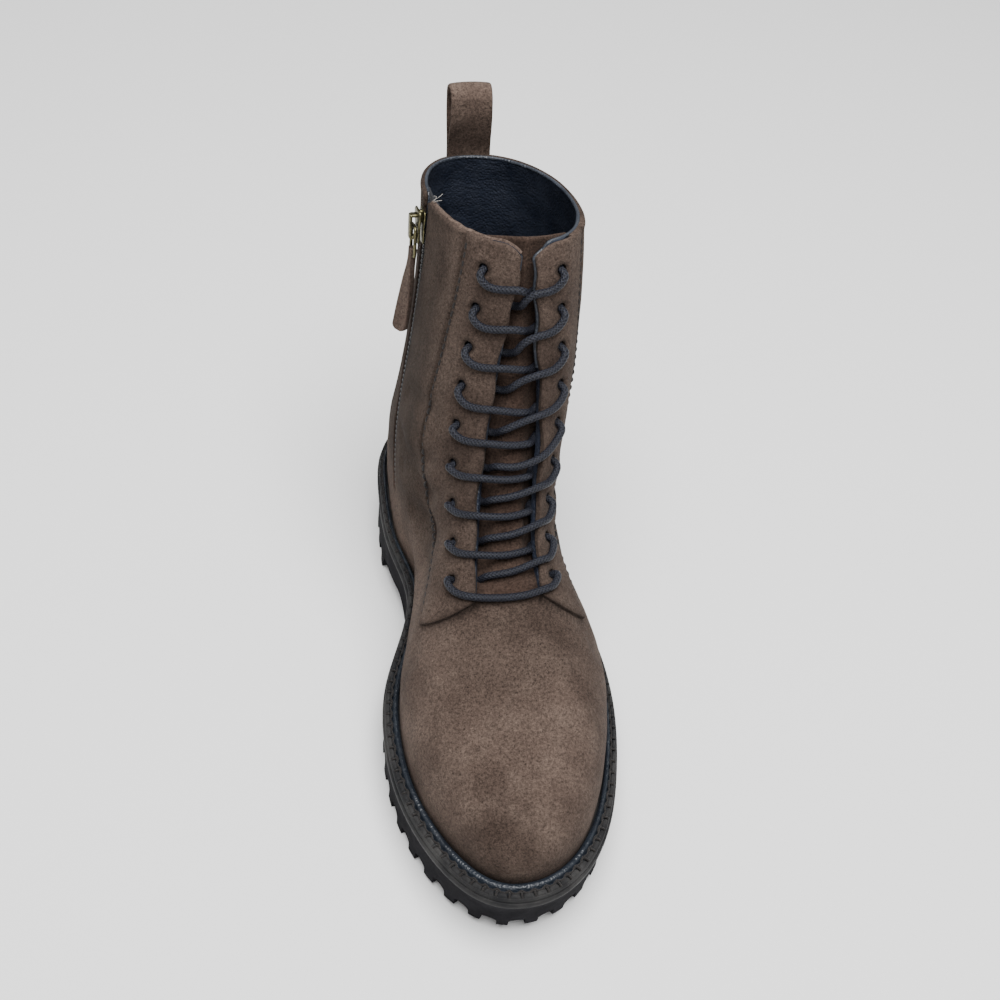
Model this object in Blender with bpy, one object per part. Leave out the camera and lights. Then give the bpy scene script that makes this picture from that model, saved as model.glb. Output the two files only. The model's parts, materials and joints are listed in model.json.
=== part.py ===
"""Lace-up ankle boot for the wearer's left foot: suede upper on a lugged rubber sole.

Metres, +Z up. The toe points along -Y and the little-toe side is +X. The origin is on the
floor, under the middle of the whole boot's box.

Inside this file a place is first written as (side, ahead, up): side is + towards the little
toe, ahead is the distance forward from the back of the sole, up is the height above the
floor. world() turns it into the frame above.

The whole upper comes from one function, upper_ring(). It is lofted from the rows of
SECTIONS, each a closed ring round the foot from the heel to the ridge of the vamp or shin.
"""

import math

import bmesh
import bpy
import numpy as np
from mathutils import Matrix, Vector

# Sole
SOLE_LENGTH = 0.284
BALL_WIDTH = 0.1065
HEEL_HEIGHT = 0.042
FOREFOOT_HEIGHT = 0.030
TOE_SPRING = 0.0085
HEEL_END_RADIUS = 0.035
TOE_RADIUS_MEDIAL = 0.031
TOE_RADIUS_LATERAL = 0.039
RIM_HEIGHT = 0.0045
RIM_STEP = 0.0012
SOLE_FLARE = 0.0010
TOE_UNDERCUT = 0.0045
ARCH_RISE = 0.013
HEEL_BREAST = 0.076
FOREFOOT_START = 0.122
BREAST_SLOPE = 0.006
BREAST_RUN = 0.020
SPRING_START = 0.74
BAR_PITCH = 0.016
LUG_DEPTH = 0.0060
LUG_PITCH = 0.0142
LUG_GAP = 0.0046
LUG_LENGTH = 0.0115
CHANNEL_WIDTH = 0.0045

# Welt and insole
WELT_THICKNESS = 0.0028
WELT_BEAD_SHARE = 0.42
WELT_BEAD_HEIGHT = 0.0012
WELT_INSET = 0.0009
WELT_GROOVE = 0.0008
WELT_SEAT = 0.0008
MARGIN_HEEL = 0.0050
MARGIN_MEDIAL = 0.0077
MARGIN_LATERAL = 0.0056
MARGIN_TOE = 0.0092
INSOLE_THICKNESS = 0.0030
INSOLE_GAP = 0.0009

# Upper
WALL = 0.0020
UPPER_LENGTH = 0.270
FRONT_HEIGHT = 0.1755
BACK_HEIGHT = 0.1600
COLLAR_WIDTH = 0.0660
RIDGE_SHIFT = 0.0152
VAMP_FULLNESS = 2.35
INSTEP_FULLNESS_MEDIAL = 2.2
INSTEP_FULLNESS_LATERAL = 1.22
ARCH_BULGE = 0.0035
SIDE_STAND = 0.14
COLLAR_FULLNESS = 2.15

# Facings, tongue and lacing
FACING_THICKNESS = 0.0014
THROAT_GAP_LOW = 0.0305
THROAT_GAP_TOP = 0.0046
CORNER_RADIUS = 0.0090
CORNER_DROP = 0.0055
FACING_SEAT = 0.00045
FACING_WIDTH_TOP = 0.0255
FACING_WIDTH_LOW = 0.0530
FACING_SWEEP = 0.0340
LACE_DIAMETER = 0.0033
LACE_DROP = 0.0042
LACE_SAG = 0.0022
LACE_CLEARANCE = 0.0008
LACE_ROWS = 9
LACE_PITCH = 0.0175
FIRST_EYELET = 0.0122
EYELET_INSET_MEDIAL = 0.0146
EYELET_INSET_LATERAL = 0.0110
EYELET_DIAMETER = 0.0046
TONGUE_THICKNESS = 0.0022
TONGUE_WIDTH = 0.0600
TONGUE_RISE = 0.0005
TONGUE_ROUND = 0.0040
TONGUE_LAP = 0.0180

# Zip
ZIP_SLOT = 0.0064
ZIP_CHAIN_WIDTH = 0.0046
ZIP_CHAIN_THICKNESS = 0.0018
ZIP_TAPE_WIDTH = 0.0180
ZIP_TAPE_THICKNESS = 0.0008
ZIP_SEAT = 0.0006
ZIP_FOOT_LEVEL = 0.33
ZIP_TOP_DROP = 0.0095
SLIDER_LENGTH = 0.0150
SLIDER_WIDTH = 0.0092
SLIDER_THICKNESS = 0.0030
PULL_LENGTH = 0.0490
PULL_LINK = 0.0120
PULL_WIDTH = 0.0085
PULL_THICKNESS = 0.0026
PIN_DIAMETER = 0.0016
PIN_CLEARANCE = 0.0004
BAIL_THICKNESS = 0.0012
BAIL_WIDTH = 0.0026
BAIL_LENGTH = 0.0110
ARM_WIDTH = 0.0018

# Pull loop
LOOP_WIDTH = 0.0195
LOOP_THICKNESS = 0.0016
LOOP_RISE = 0.0325
LOOP_LAP = 0.024
LOOP_OPENING = 0.0085

CLEARANCE = 0.0003
NUDGE = 0.0006

# Where forms start and end, as shares of the sole's length
SHANK_START = 0.20
SHANK_END = 0.56
TOE_LIFT_START = 0.70
MARGIN_START = 0.30
MARGIN_END = 0.58
FULLNESS_START = 0.44
FULLNESS_END = 0.78

# Other shares: of the upper's height, the throat, the facing and the lugs' depth
SETTLE_LEVEL = 0.55
GAP_EASE_START = -0.05
GAP_EASE_END = 0.90
FACING_TAPER = 2.2
FACING_LIP = 0.06
CHANNEL_DEPTH_SHARE = 0.9
BAR_DEPTH_SHARE = 0.8

# The rim of the sole: half widths as shares of BALL_WIDTH, at shares of SOLE_LENGTH.
OUTLINE = (
    # along, medial, lateral
    (0.106, 0.382, 0.352),
    (0.211, 0.414, 0.384),
    (0.335, 0.380, 0.398),
    (0.423, 0.322, 0.424),
    (0.511, 0.376, 0.492),
    (0.599, 0.452, 0.530),
    (0.687, 0.473, 0.526),
    (0.775, 0.449, 0.488),
    (0.863, 0.378, 0.421),
    (0.933, 0.279, 0.320),
)

# Rings of the upper. front and back are places along the foot, as shares of UPPER_LENGTH
# from the heel; rise_front and rise_back are heights above the sole's top, as shares of
# FRONT_HEIGHT and BACK_HEIGHT; medial and lateral are half widths of the leg, as shares of
# COLLAR_WIDTH; leg is how much of the ring is leg and not foot; shift is how far the ridge
# stands towards the little toe, as a share of RIDGE_SHIFT.
SECTIONS = (
    # name, front, rise_front, back, rise_back, medial, lateral, leg, shift
    ("feather", 1.000, 0.000, 0.000, 0.000, 0.56, 0.56, 0.00, 0.00),
    ("toe_wall", 1.000, 0.032, -0.002, 0.030, 0.56, 0.56, 0.00, 0.00),
    ("toe_low", 0.988, 0.082, -0.006, 0.058, 0.56, 0.56, 0.00, 0.02),
    ("toe_top", 0.955, 0.132, -0.008, 0.086, 0.56, 0.56, 0.00, 0.06),
    ("box", 0.889, 0.186, -0.008, 0.116, 0.56, 0.56, 0.00, 0.12),
    ("vamp", 0.795, 0.240, -0.007, 0.150, 0.56, 0.56, 0.00, 0.20),
    ("vamp_top", 0.705, 0.288, -0.004, 0.190, 0.57, 0.56, 0.00, 0.28),
    ("throat", 0.620, 0.345, 0.004, 0.240, 0.58, 0.56, 0.05, 0.36),
    ("instep", 0.540, 0.425, 0.013, 0.312, 0.57, 0.55, 0.28, 0.46),
    ("ankle_low", 0.463, 0.530, 0.020, 0.405, 0.55, 0.55, 0.62, 0.60),
    ("ankle", 0.399, 0.660, 0.022, 0.525, 0.52, 0.55, 0.90, 0.75),
    ("leg_low", 0.355, 0.790, 0.018, 0.665, 0.49, 0.54, 1.00, 0.86),
    ("leg_mid", 0.327, 0.905, 0.010, 0.830, 0.465, 0.53, 1.00, 0.94),
    ("collar", 0.309, 1.000, 0.000, 1.000, 0.455, 0.50, 1.00, 1.00),
)

THROAT_LEVEL = 7 / 13
ARCH_CENTRE = 0.43
ARCH_REACH = 0.17
LEVEL_STEP = 0.02
REAR_COLUMNS = 15
LOW_LEVELS = 10
HIGH_LEVELS = 10
SOLE_POINTS = 68
FACING_COLUMNS = 6
TONGUE_COLUMNS = 7
TONGUE_ROWS = 14
ZIP_ROWS = 10
ZIP_SHARE_LOW = 0.25
ZIP_SHARE_TOP = 0.48
LOOP_COLUMNS = 5
BACK_RADIUS = 0.030
LOOP_TURN_POINTS = 7
LACE_POINTS = 6
LACE_SIDES = 6


def world(side, ahead, up):
    """A place of the boot as a vector, before stand_on_floor() centres the whole."""
    return Vector((side - MID_SIDE, SOLE_LENGTH / 2 - ahead, up))


def spline(knots, values, places):
    """Natural cubic curve through the values at the knots."""
    x = np.asarray(knots, float)
    y = np.asarray(values, float)
    step = np.diff(x)
    rows = np.zeros((len(x), len(x)))
    right = np.zeros(len(x))
    rows[0, 0] = rows[-1, -1] = 1.0
    for i in range(1, len(x) - 1):
        rows[i, i - 1 : i + 2] = step[i - 1], 2 * (step[i - 1] + step[i]), step[i]
        right[i] = 6 * ((y[i + 1] - y[i]) / step[i] - (y[i] - y[i - 1]) / step[i - 1])
    bend = np.linalg.solve(rows, right)
    p = np.clip(np.asarray(places, float), x[0], x[-1])
    i = np.clip(np.searchsorted(x, p) - 1, 0, len(step) - 1)
    a = (x[i + 1] - p) / step[i]
    b = 1 - a
    curve = (a**3 - a) * bend[i] + (b**3 - b) * bend[i + 1]
    return a * y[i] + b * y[i + 1] + curve * step[i] ** 2 / 6


def smooth_step(x, low, high):
    t = np.clip((x - low) / (high - low), 0, 1)
    return t * t * (3 - 2 * t)


def rim_half_width(angle, lateral):
    """Half width of the sole's rim. angle runs from 0 at the heel to pi at the toe."""
    column = 2 if lateral else 1
    toe_radius = TOE_RADIUS_LATERAL if lateral else TOE_RADIUS_MEDIAL
    round_end = math.sqrt(SOLE_LENGTH / 2)
    knots = [0.0]
    fullness = [round_end * math.sqrt(HEEL_END_RADIUS)]
    for row in OUTLINE:
        at = math.acos(1 - 2 * row[0])
        knots.append(at)
        fullness.append(row[column] * BALL_WIDTH / math.sin(at))
    knots.append(math.pi)
    fullness.append(round_end * math.sqrt(toe_radius))
    return spline(knots, fullness, angle) * np.sin(angle)


def rim_curve(inset, angle):
    """(side, ahead) round the sole's rim, moved inwards by inset. angle is 0 at the heel, pi at
    the toe and on to 2 pi back along the medial side. inset is a number or one per angle."""
    fine = np.linspace(0, 2 * math.pi, 1441)[:-1]
    lateral = fine <= math.pi
    side = np.where(lateral, rim_half_width(fine, True), -rim_half_width(2 * math.pi - fine, False))
    ahead = SOLE_LENGTH * (1 - np.cos(fine)) / 2
    tangent_side = np.roll(side, -1) - np.roll(side, 1)
    tangent_ahead = np.roll(ahead, -1) - np.roll(ahead, 1)
    size = np.hypot(tangent_side, tangent_ahead)
    turned = np.mod(angle, 2 * math.pi)

    def at(values):
        return np.interp(turned, fine, values, period=2 * math.pi)

    return (
        at(side) - inset * at(tangent_ahead / size),
        at(ahead) + inset * at(tangent_side / size),
    )


def sole_top(ahead):
    """Height of the sole's top edge along the foot: heel seat, shank and toe spring."""
    share = np.asarray(ahead) / SOLE_LENGTH
    drop = smooth_step(share, SHANK_START, SHANK_END)
    toe = np.clip((share - TOE_LIFT_START) / (1 - TOE_LIFT_START), 0, 1) ** 2
    return HEEL_HEIGHT + (FOREFOOT_HEIGHT - HEEL_HEIGHT) * drop + TOE_SPRING * toe


def tread(ahead):
    """Height of the lugs' lowest faces: flat on the floor, rising to the toe."""
    share = np.asarray(ahead) / SOLE_LENGTH
    return TOE_SPRING * np.clip((share - SPRING_START) / (1 - SPRING_START), 0, 1) ** 2


def welt_margin(angle):
    """Width of sole that shows beside the upper, round the foot."""
    across = np.sin(angle) ** 2
    side = np.where(np.sin(angle) > 0, MARGIN_LATERAL, MARGIN_MEDIAL)
    fore = side * across + MARGIN_TOE * (1 - across)
    share = (1 - np.cos(angle)) / 2
    return MARGIN_HEEL + (fore - MARGIN_HEEL) * smooth_step(share, MARGIN_START, MARGIN_END)


def feather_half_width(ahead, lateral):
    """Half width of the upper where it meets the sole."""
    angle = np.linspace(0, math.pi, 361)
    if not lateral:
        angle = 2 * math.pi - angle
    side, along = rim_curve(welt_margin(angle), angle)
    return np.interp(ahead, along, np.abs(side), left=0.0, right=0.0)


def section_values(level):
    """The SECTIONS columns at this level, which runs from 0 at the sole to 1 at the collar."""
    knots = np.linspace(0, 1, len(SECTIONS))
    return [
        spline(knots, [row[column] for row in SECTIONS], level)
        for column in range(1, len(SECTIONS[0]))
    ]


def ridge_height(ahead):
    """Height of the ridge above the floor, from the toe to the collar and straight on up."""
    levels = np.linspace(0, 1, 201)
    front, rise, *_ = section_values(levels)
    places = TOE_END - (1 - front) * UPPER_LENGTH
    heights = sole_top(places) + rise * FRONT_HEIGHT
    slope = (heights[-1] - heights[-20]) / (places[-20] - places[-1])
    beyond = heights[-1] + slope * (places[-1] - np.asarray(ahead))
    order = np.argsort(places)
    inside = np.interp(ahead, places[order], heights[order])
    return np.where(np.asarray(ahead) < places[-1], beyond, inside)


def upper_ring(level, angle):
    """Outer surface of the upper at one level, (side, ahead, up) for each angle. angle is 0 at
    the heel, pi at the front ridge, and on to 2 pi back along the medial side."""
    front, rise_front, back, rise_back, medial, lateral, leg, shift = section_values(level)
    angle = np.asarray(angle, float)
    chord = (1 - np.cos(angle)) / 2
    front_ahead = TOE_END - (1 - front) * UPPER_LENGTH
    back_ahead = HEEL_END + back * UPPER_LENGTH
    ahead = back_ahead + (front_ahead - back_ahead) * chord
    front_up = sole_top(front_ahead) + rise_front * FRONT_HEIGHT
    back_up = sole_top(back_ahead) + rise_back * BACK_HEIGHT
    straight = sole_top(back_ahead) + (sole_top(front_ahead) - sole_top(back_ahead)) * chord
    settle = 1 - smooth_step(level, 0.0, SETTLE_LEVEL)
    up = back_up + (front_up - back_up) * chord + (sole_top(ahead) - straight) * settle

    is_lateral = np.sin(angle) >= 0
    station = ahead - (back_ahead - HEEL_END) * (1 - chord)
    base = np.where(is_lateral, feather_half_width(station, True), feather_half_width(station, False))
    tall = np.maximum(ridge_height(ahead) - sole_top(ahead), 1e-6)
    share = np.clip((up - sole_top(ahead)) / tall, 0, 1)
    above = np.clip((share - SIDE_STAND) / (1 - SIDE_STAND), 0, 1)
    instep = np.where(is_lateral, INSTEP_FULLNESS_LATERAL, INSTEP_FULLNESS_MEDIAL)
    fullness = instep + (VAMP_FULLNESS - instep) * smooth_step(ahead / SOLE_LENGTH, FULLNESS_START, FULLNESS_END)
    foot = base * (1 - above**fullness) ** (1 / fullness)
    arch = np.clip(1 - ((ahead / SOLE_LENGTH - ARCH_CENTRE) / ARCH_REACH) ** 2, 0, 1) ** 2
    foot = foot + np.where(is_lateral, 0.0, ARCH_BULGE) * arch * np.sin(math.pi * np.clip(2 * share, 0, 1)) ** 2
    foot = foot * np.where(chord > 1 - 1e-9, 0.0, 1.0)

    half = np.where(is_lateral, lateral, medial) * COLLAR_WIDTH
    oval = (1 - np.abs(2 * chord - 1) ** COLLAR_FULLNESS) ** (1 / COLLAR_FULLNESS)
    width = foot * (1 - leg) + half * oval * leg
    side = shift * RIDGE_SHIFT * chord + np.where(is_lateral, width, -width)
    return np.stack([side, ahead, up], axis=-1)


def derived_places():
    """Places that follow from the sizes: the ends of the upper and the middle of the sole."""
    full = np.linspace(0, math.pi, 361)
    widest = float(rim_half_width(full, True).max())
    narrow = float(rim_half_width(full, False).max())
    return SOLE_LENGTH - MARGIN_TOE, MARGIN_HEEL, (widest - narrow) / 2


TOE_END, HEEL_END, MID_SIDE = derived_places()


def material(name, colour, roughness, metallic=0.0):
    made = bpy.data.materials.new(name)
    made.use_nodes = True
    surface = made.node_tree.nodes["Principled BSDF"]
    surface.inputs["Base Color"].default_value = (*colour, 1.0)
    surface.inputs["Roughness"].default_value = roughness
    surface.inputs["Metallic"].default_value = metallic
    return made


def add_object(name, mesh_data, finish):
    """Links a finished bmesh as a named object, shaded smooth with its sharp edges kept."""
    bmesh.ops.recalc_face_normals(mesh_data, faces=mesh_data.faces)
    mesh = bpy.data.meshes.new(name)
    mesh_data.to_mesh(mesh)
    mesh_data.free()
    mesh.shade_smooth()
    mesh.set_sharp_from_angle(angle=math.radians(40))
    made = bpy.data.objects.new(name, mesh)
    bpy.context.scene.collection.objects.link(made)
    if finish:
        mesh.materials.append(finish)
    else:
        made.hide_render = True
        made.display_type = "WIRE"
    return made


def flat_strips(count):
    """Faces that close a ring cut across the foot, from its heel point 0 to its toe point."""
    half = count // 2
    faces = [(1, 0, count - 1)]
    faces += [(k + 1, k, count - k, count - k - 1) for k in range(1, half - 1)]
    return faces + [(half, half - 1, half + 1)]


def loft(name, rings, finish, closed_stack=False):
    """Bridges closed rings of equal count into one skin and closes both ends with strips from
    side to side. closed_stack joins the last ring to the first instead, as in a bent tube."""
    shape = bmesh.new()
    loops = [[shape.verts.new(world(*point)) for point in ring] for ring in rings]
    pairs = list(zip(loops, loops[1:]))
    if closed_stack:
        pairs.append((loops[-1], loops[0]))
    for low, high in pairs:
        for i in range(len(low)):
            j = (i + 1) % len(low)
            shape.faces.new((low[i], low[j], high[j], high[i]))
    if not closed_stack:
        for face in flat_strips(len(rings[0])):
            shape.faces.new([loops[0][i] for i in face])
            shape.faces.new([loops[-1][i] for i in reversed(face)])
    return add_object(name, shape, finish)


def prism(name, profile, half_width, finish):
    """A flat outline of (ahead, up) points, extruded from side to side."""
    shape = bmesh.new()
    ends = [[shape.verts.new(world(side, *p)) for p in profile] for side in (-half_width, half_width)]
    for i in range(len(profile)):
        j = (i + 1) % len(profile)
        shape.faces.new((ends[0][i], ends[0][j], ends[1][j], ends[1][i]))
    for end in ends:
        shape.faces.new(end)
    return add_object(name, shape, finish)


def plate(name, outer, inner, finish):
    """A closed plate between two grids of places with the same rows and columns."""
    shape = bmesh.new()
    faces = [[[shape.verts.new(world(*p)) for p in row] for row in grid] for grid in (outer, inner)]
    rows, columns = len(outer), len(outer[0])
    for side in faces:
        for r in range(rows - 1):
            for c in range(columns - 1):
                shape.faces.new((side[r][c], side[r][c + 1], side[r + 1][c + 1], side[r + 1][c]))
    border = [(0, c) for c in range(columns)] + [(r, columns - 1) for r in range(1, rows)]
    border += [(rows - 1, c) for c in range(columns - 2, -1, -1)] + [(r, 0) for r in range(rows - 2, 0, -1)]
    for (r, c), (r2, c2) in zip(border, border[1:] + border[:1]):
        shape.faces.new((faces[0][r][c], faces[0][r2][c2], faces[1][r2][c2], faces[1][r][c]))
    return add_object(name, shape, finish)


def add_tube(shape, points, radius, sides=8):
    """A round rod along points, closed at both ends, added to a bmesh."""
    points = [Vector(p) for p in points]
    loops = []
    across = None
    for i, point in enumerate(points):
        before, after = points[max(i - 1, 0)], points[min(i + 1, len(points) - 1)]
        tangent = (after - before).normalized()
        if across is None:
            across = tangent.orthogonal().normalized()
        across = (across - tangent * across.dot(tangent)).normalized()
        other = tangent.cross(across)
        loops.append(
            [
                shape.verts.new(
                    point
                    + across * radius * math.cos(2 * math.pi * k / sides)
                    + other * radius * math.sin(2 * math.pi * k / sides)
                )
                for k in range(sides)
            ]
        )
    for low, high in zip(loops, loops[1:]):
        for k in range(sides):
            m = (k + 1) % sides
            shape.faces.new((low[k], low[m], high[m], high[k]))
    shape.faces.new(list(reversed(loops[0])))
    shape.faces.new(loops[-1])


def combine(target, other, name, operation="DIFFERENCE"):
    modifier = target.modifiers.new(name, "BOOLEAN")
    modifier.operation = operation
    modifier.object = other
    modifier.solver = "EXACT"


def sole_ring(inset, height, count):
    """One ring round the sole. height is a function of the place along the foot."""
    angle = np.linspace(0, 2 * math.pi, count, endpoint=False)
    side, ahead = rim_curve(inset, angle)
    return np.stack([side, ahead, height(ahead)], axis=-1)


def seat_height(ahead):
    """The level that welt, upper and insole stand on, just above the outsole."""
    return sole_top(ahead) - WELT_THICKNESS


def make_outsole(finish):
    angle = np.linspace(0, 2 * math.pi, SOLE_POINTS, endpoint=False)
    undercut = TOE_UNDERCUT * np.clip(-np.cos(angle), 0, 1) ** 6

    def top(ahead):
        return seat_height(ahead) - CLEARANCE

    rings = [
        sole_ring(undercut - SOLE_FLARE + RIM_STEP, lambda a: a * 0 - CLEARANCE, SOLE_POINTS),
        sole_ring(undercut / 2 + RIM_STEP, lambda a: (top(a) - RIM_HEIGHT) / 2, SOLE_POINTS),
        sole_ring(RIM_STEP, lambda a: top(a) - RIM_HEIGHT, SOLE_POINTS),
        sole_ring(0.0, lambda a: top(a) - RIM_HEIGHT + RIM_STEP, SOLE_POINTS),
        sole_ring(0.0, lambda a: top(a) - RIM_STEP / 2, SOLE_POINTS),
        sole_ring(RIM_STEP / 2, top, SOLE_POINTS),
    ]
    body = loft("outsole", rings, finish)
    combine(body, make_underside_cutter(), "underside")
    combine(body, make_lug_gap_cutter(), "lug_gaps")
    combine(body, make_channel_cutter(), "channel")
    combine(body, make_bar_gap_cutter(), "bar_gaps")


def underside(ahead):
    """Height of the lugs' lowest faces and of the raised arch between heel and forefoot."""
    rise = smooth_step(ahead, HEEL_BREAST, HEEL_BREAST + BREAST_SLOPE)
    fall = smooth_step(ahead, FOREFOOT_START - BREAST_RUN, FOREFOOT_START)
    return tread(ahead) + ARCH_RISE * (rise - fall)


def make_underside_cutter():
    """Everything below the tread: a wide slab whose top is the sole's side profile."""
    ahead = np.concatenate(
        [
            [-BALL_WIDTH],
            np.linspace(HEEL_BREAST, HEEL_BREAST + BREAST_SLOPE, 5),
            np.linspace(FOREFOOT_START - BREAST_RUN, FOREFOOT_START, 6),
            np.linspace(SPRING_START, 1.0, 9) * SOLE_LENGTH,
            [SOLE_LENGTH + BALL_WIDTH],
        ]
    )
    profile = [(a, float(underside(min(a, SOLE_LENGTH)))) for a in ahead]
    profile += [(ahead[-1], -BALL_WIDTH / 2), (ahead[0], -BALL_WIDTH / 2)]
    return prism("underside_cutter", profile, BALL_WIDTH, None)


def lug_gap_angles():
    """Angles round the rim of the gaps between edge lugs, evenly spaced along the edge."""
    fine = np.linspace(0, 2 * math.pi, 2881)
    side, ahead = rim_curve(0.0, fine)
    run = np.concatenate([[0], np.cumsum(np.hypot(np.diff(side), np.diff(ahead)))])
    count = round(run[-1] / LUG_PITCH)
    return np.interp((np.arange(count) + 0.5) * run[-1] / count, run, fine)


def add_block(shape, ends, width, low, high):
    """A straight block between two (side, ahead) ends."""
    start, stop = np.array(ends[0]), np.array(ends[1])
    along = (stop - start) / np.linalg.norm(stop - start)
    across = np.array([-along[1], along[0]]) * width / 2
    corners = (start + across, stop + across, stop - across, start - across)
    rings = [[shape.verts.new(world(*corner, up)) for corner in corners] for up in (low, high)]
    shape.faces.new(list(reversed(rings[0])))
    shape.faces.new(rings[1])
    for i in range(4):
        j = (i + 1) % 4
        shape.faces.new((rings[0][i], rings[0][j], rings[1][j], rings[1][i]))


def make_lug_gap_cutter():
    """Gaps between the lugs round the edge, open at the sole's side."""
    shape = bmesh.new()
    angles = lug_gap_angles()
    outer = np.stack(rim_curve(-2 * SOLE_FLARE, angles), axis=-1)
    inner = np.stack(rim_curve(LUG_LENGTH + CHANNEL_WIDTH / 2, angles), axis=-1)
    for start, stop in zip(outer, inner):
        if HEEL_BREAST - LUG_GAP < start[1] < FOREFOOT_START:
            continue
        add_block(shape, (start, stop), LUG_GAP, -LUG_DEPTH, float(tread(stop[1])) + LUG_DEPTH)
    return add_object("lug_gap_cutter", shape, None)


def make_channel_cutter():
    """The channel inside the edge lugs, round the whole tread."""

    def roof(ahead):
        return tread(ahead) + LUG_DEPTH * CHANNEL_DEPTH_SHARE

    def floor_below(ahead):
        return ahead * 0 - LUG_DEPTH

    outer, inner = LUG_LENGTH, LUG_LENGTH + CHANNEL_WIDTH
    rings = [
        sole_ring(outer, floor_below, SOLE_POINTS // 2),
        sole_ring(outer, roof, SOLE_POINTS // 2),
        sole_ring(inner, roof, SOLE_POINTS // 2),
        sole_ring(inner, floor_below, SOLE_POINTS // 2),
    ]
    return loft("channel_cutter", rings, None, closed_stack=True)


def make_bar_gap_cutter():
    """Gaps across the middle of the tread, between its bars."""
    shape = bmesh.new()
    forefoot = np.arange(FOREFOOT_START + BAR_PITCH, SOLE_LENGTH - 2 * LUG_LENGTH - BAR_PITCH / 2, BAR_PITCH)
    heel = np.arange(HEEL_BREAST - BAR_PITCH, 2 * LUG_LENGTH, -BAR_PITCH)
    for ahead in np.concatenate([forefoot, heel]):
        reach = LUG_LENGTH + CHANNEL_WIDTH / 2
        angle = np.array([math.acos(1 - 2 * ahead / SOLE_LENGTH)])
        right, left = rim_curve(reach, angle)[0][0], rim_curve(reach, 2 * math.pi - angle)[0][0]
        roof = float(tread(ahead)) + LUG_DEPTH * BAR_DEPTH_SHARE
        add_block(shape, ((left, ahead), (right, ahead)), LUG_GAP, -LUG_DEPTH, roof)
    return add_object("bar_gap_cutter", shape, None)


def make_welt(finish):
    """A stitched strip round the upper, with a raised bead against the leather."""
    angle = np.linspace(0, 2 * math.pi, SOLE_POINTS, endpoint=False)
    inner = welt_margin(angle) - WELT_SEAT
    bead = inner - WELT_BEAD_SHARE * inner
    outer = WELT_INSET

    def at(height):
        return lambda ahead: sole_top(ahead) + height

    rings = [
        sole_ring(outer, at(-WELT_THICKNESS), SOLE_POINTS),
        sole_ring(outer, at(-WELT_GROOVE / 2), SOLE_POINTS),
        sole_ring(outer + WELT_GROOVE, at(0.0), SOLE_POINTS),
        sole_ring(bead - WELT_GROOVE, at(-WELT_GROOVE), SOLE_POINTS),
        sole_ring(bead / 2 + inner / 2, at(WELT_BEAD_HEIGHT), SOLE_POINTS),
        sole_ring(inner, at(WELT_BEAD_HEIGHT / 2), SOLE_POINTS),
        sole_ring(inner, at(-WELT_THICKNESS), SOLE_POINTS),
    ]
    return loft("welt", rings, finish, closed_stack=True)


def make_insole(finish):
    angle = np.linspace(0, 2 * math.pi, SOLE_POINTS, endpoint=False)
    inset = welt_margin(angle) + WALL + INSOLE_GAP

    def top(ahead):
        return seat_height(ahead) + INSOLE_THICKNESS

    rings = [sole_ring(inset, seat_height, SOLE_POINTS), sole_ring(inset, top, SOLE_POINTS)]
    return loft("insole", rings, finish)


def girth(level):
    """One ring of the upper with the distance along it from the ridge, + on the little-toe side."""
    angle = np.linspace(-math.pi, math.pi, 361)
    over = max(level - 1.0, 0.0)
    ring = upper_ring(min(level, 1.0), angle)
    if over:
        ring = ring + (ring - upper_ring(1.0 - LEVEL_STEP, angle)) * over / LEVEL_STEP
    run = np.concatenate([[0], np.cumsum(np.linalg.norm(np.diff(ring, axis=0), axis=1))])
    return angle, ring, run


def upper_at(level, distance, from_back=False):
    """A place on the outer face, by its distance along the ring from the front ridge, or from
    the middle of the back. + is towards the little toe."""
    angle, ring, run = girth(level)
    where = run[len(run) // 2] + distance if from_back else np.where(distance > 0, run[-1], 0) - distance
    return np.stack([np.interp(where, run, ring[:, k]) for k in range(3)], axis=-1)


def lifted(level, distance, lift, from_back=False):
    """upper_at moved outwards by lift, square to the surface."""
    distance = np.asarray(distance, float)
    here = upper_at(level, distance, from_back)
    along = upper_at(level + LEVEL_STEP / 4, distance, from_back)
    along = along - upper_at(level - LEVEL_STEP / 4, distance, from_back)
    nudge = np.where(distance > 0, -NUDGE, NUDGE)
    around = (upper_at(level, distance + nudge, from_back) - here) * np.sign(nudge)[..., None]
    normal = np.cross(along, around)
    if from_back:
        normal = -normal
    return here + lift * normal / np.linalg.norm(normal, axis=-1, keepdims=True)


def edge_angle(level, distance):
    """Ring angle, from the heel, at a distance from the ridge; the big-toe side is negative."""
    angle, _, run = girth(level)
    return float(np.interp(run[-1] - distance if distance > 0 else -distance, run, angle))


def throat_share(level):
    """0 at the foot of the throat and below it, 1 at the collar."""
    return float(np.clip((level - THROAT_LEVEL) / (1 - THROAT_LEVEL), 0, 1))


def throat_half_gap(level):
    """Half the gap between the facings, widest at the foot of the throat."""
    low, top = THROAT_GAP_LOW / 2, THROAT_GAP_TOP / 2
    return top + (low - top) * float(smooth_step(1 - throat_share(level), GAP_EASE_START, GAP_EASE_END))


def facing_shares():
    return np.linspace(0, 1, FACING_COLUMNS)


def throat_levels():
    return np.linspace(THROAT_LEVEL, 1, HIGH_LEVELS)


def shell_levels():
    low = np.linspace(0, THROAT_LEVEL, LOW_LEVELS)
    return np.concatenate([[0, low[1] / 2], low[1:], throat_levels()[1:]])


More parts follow.
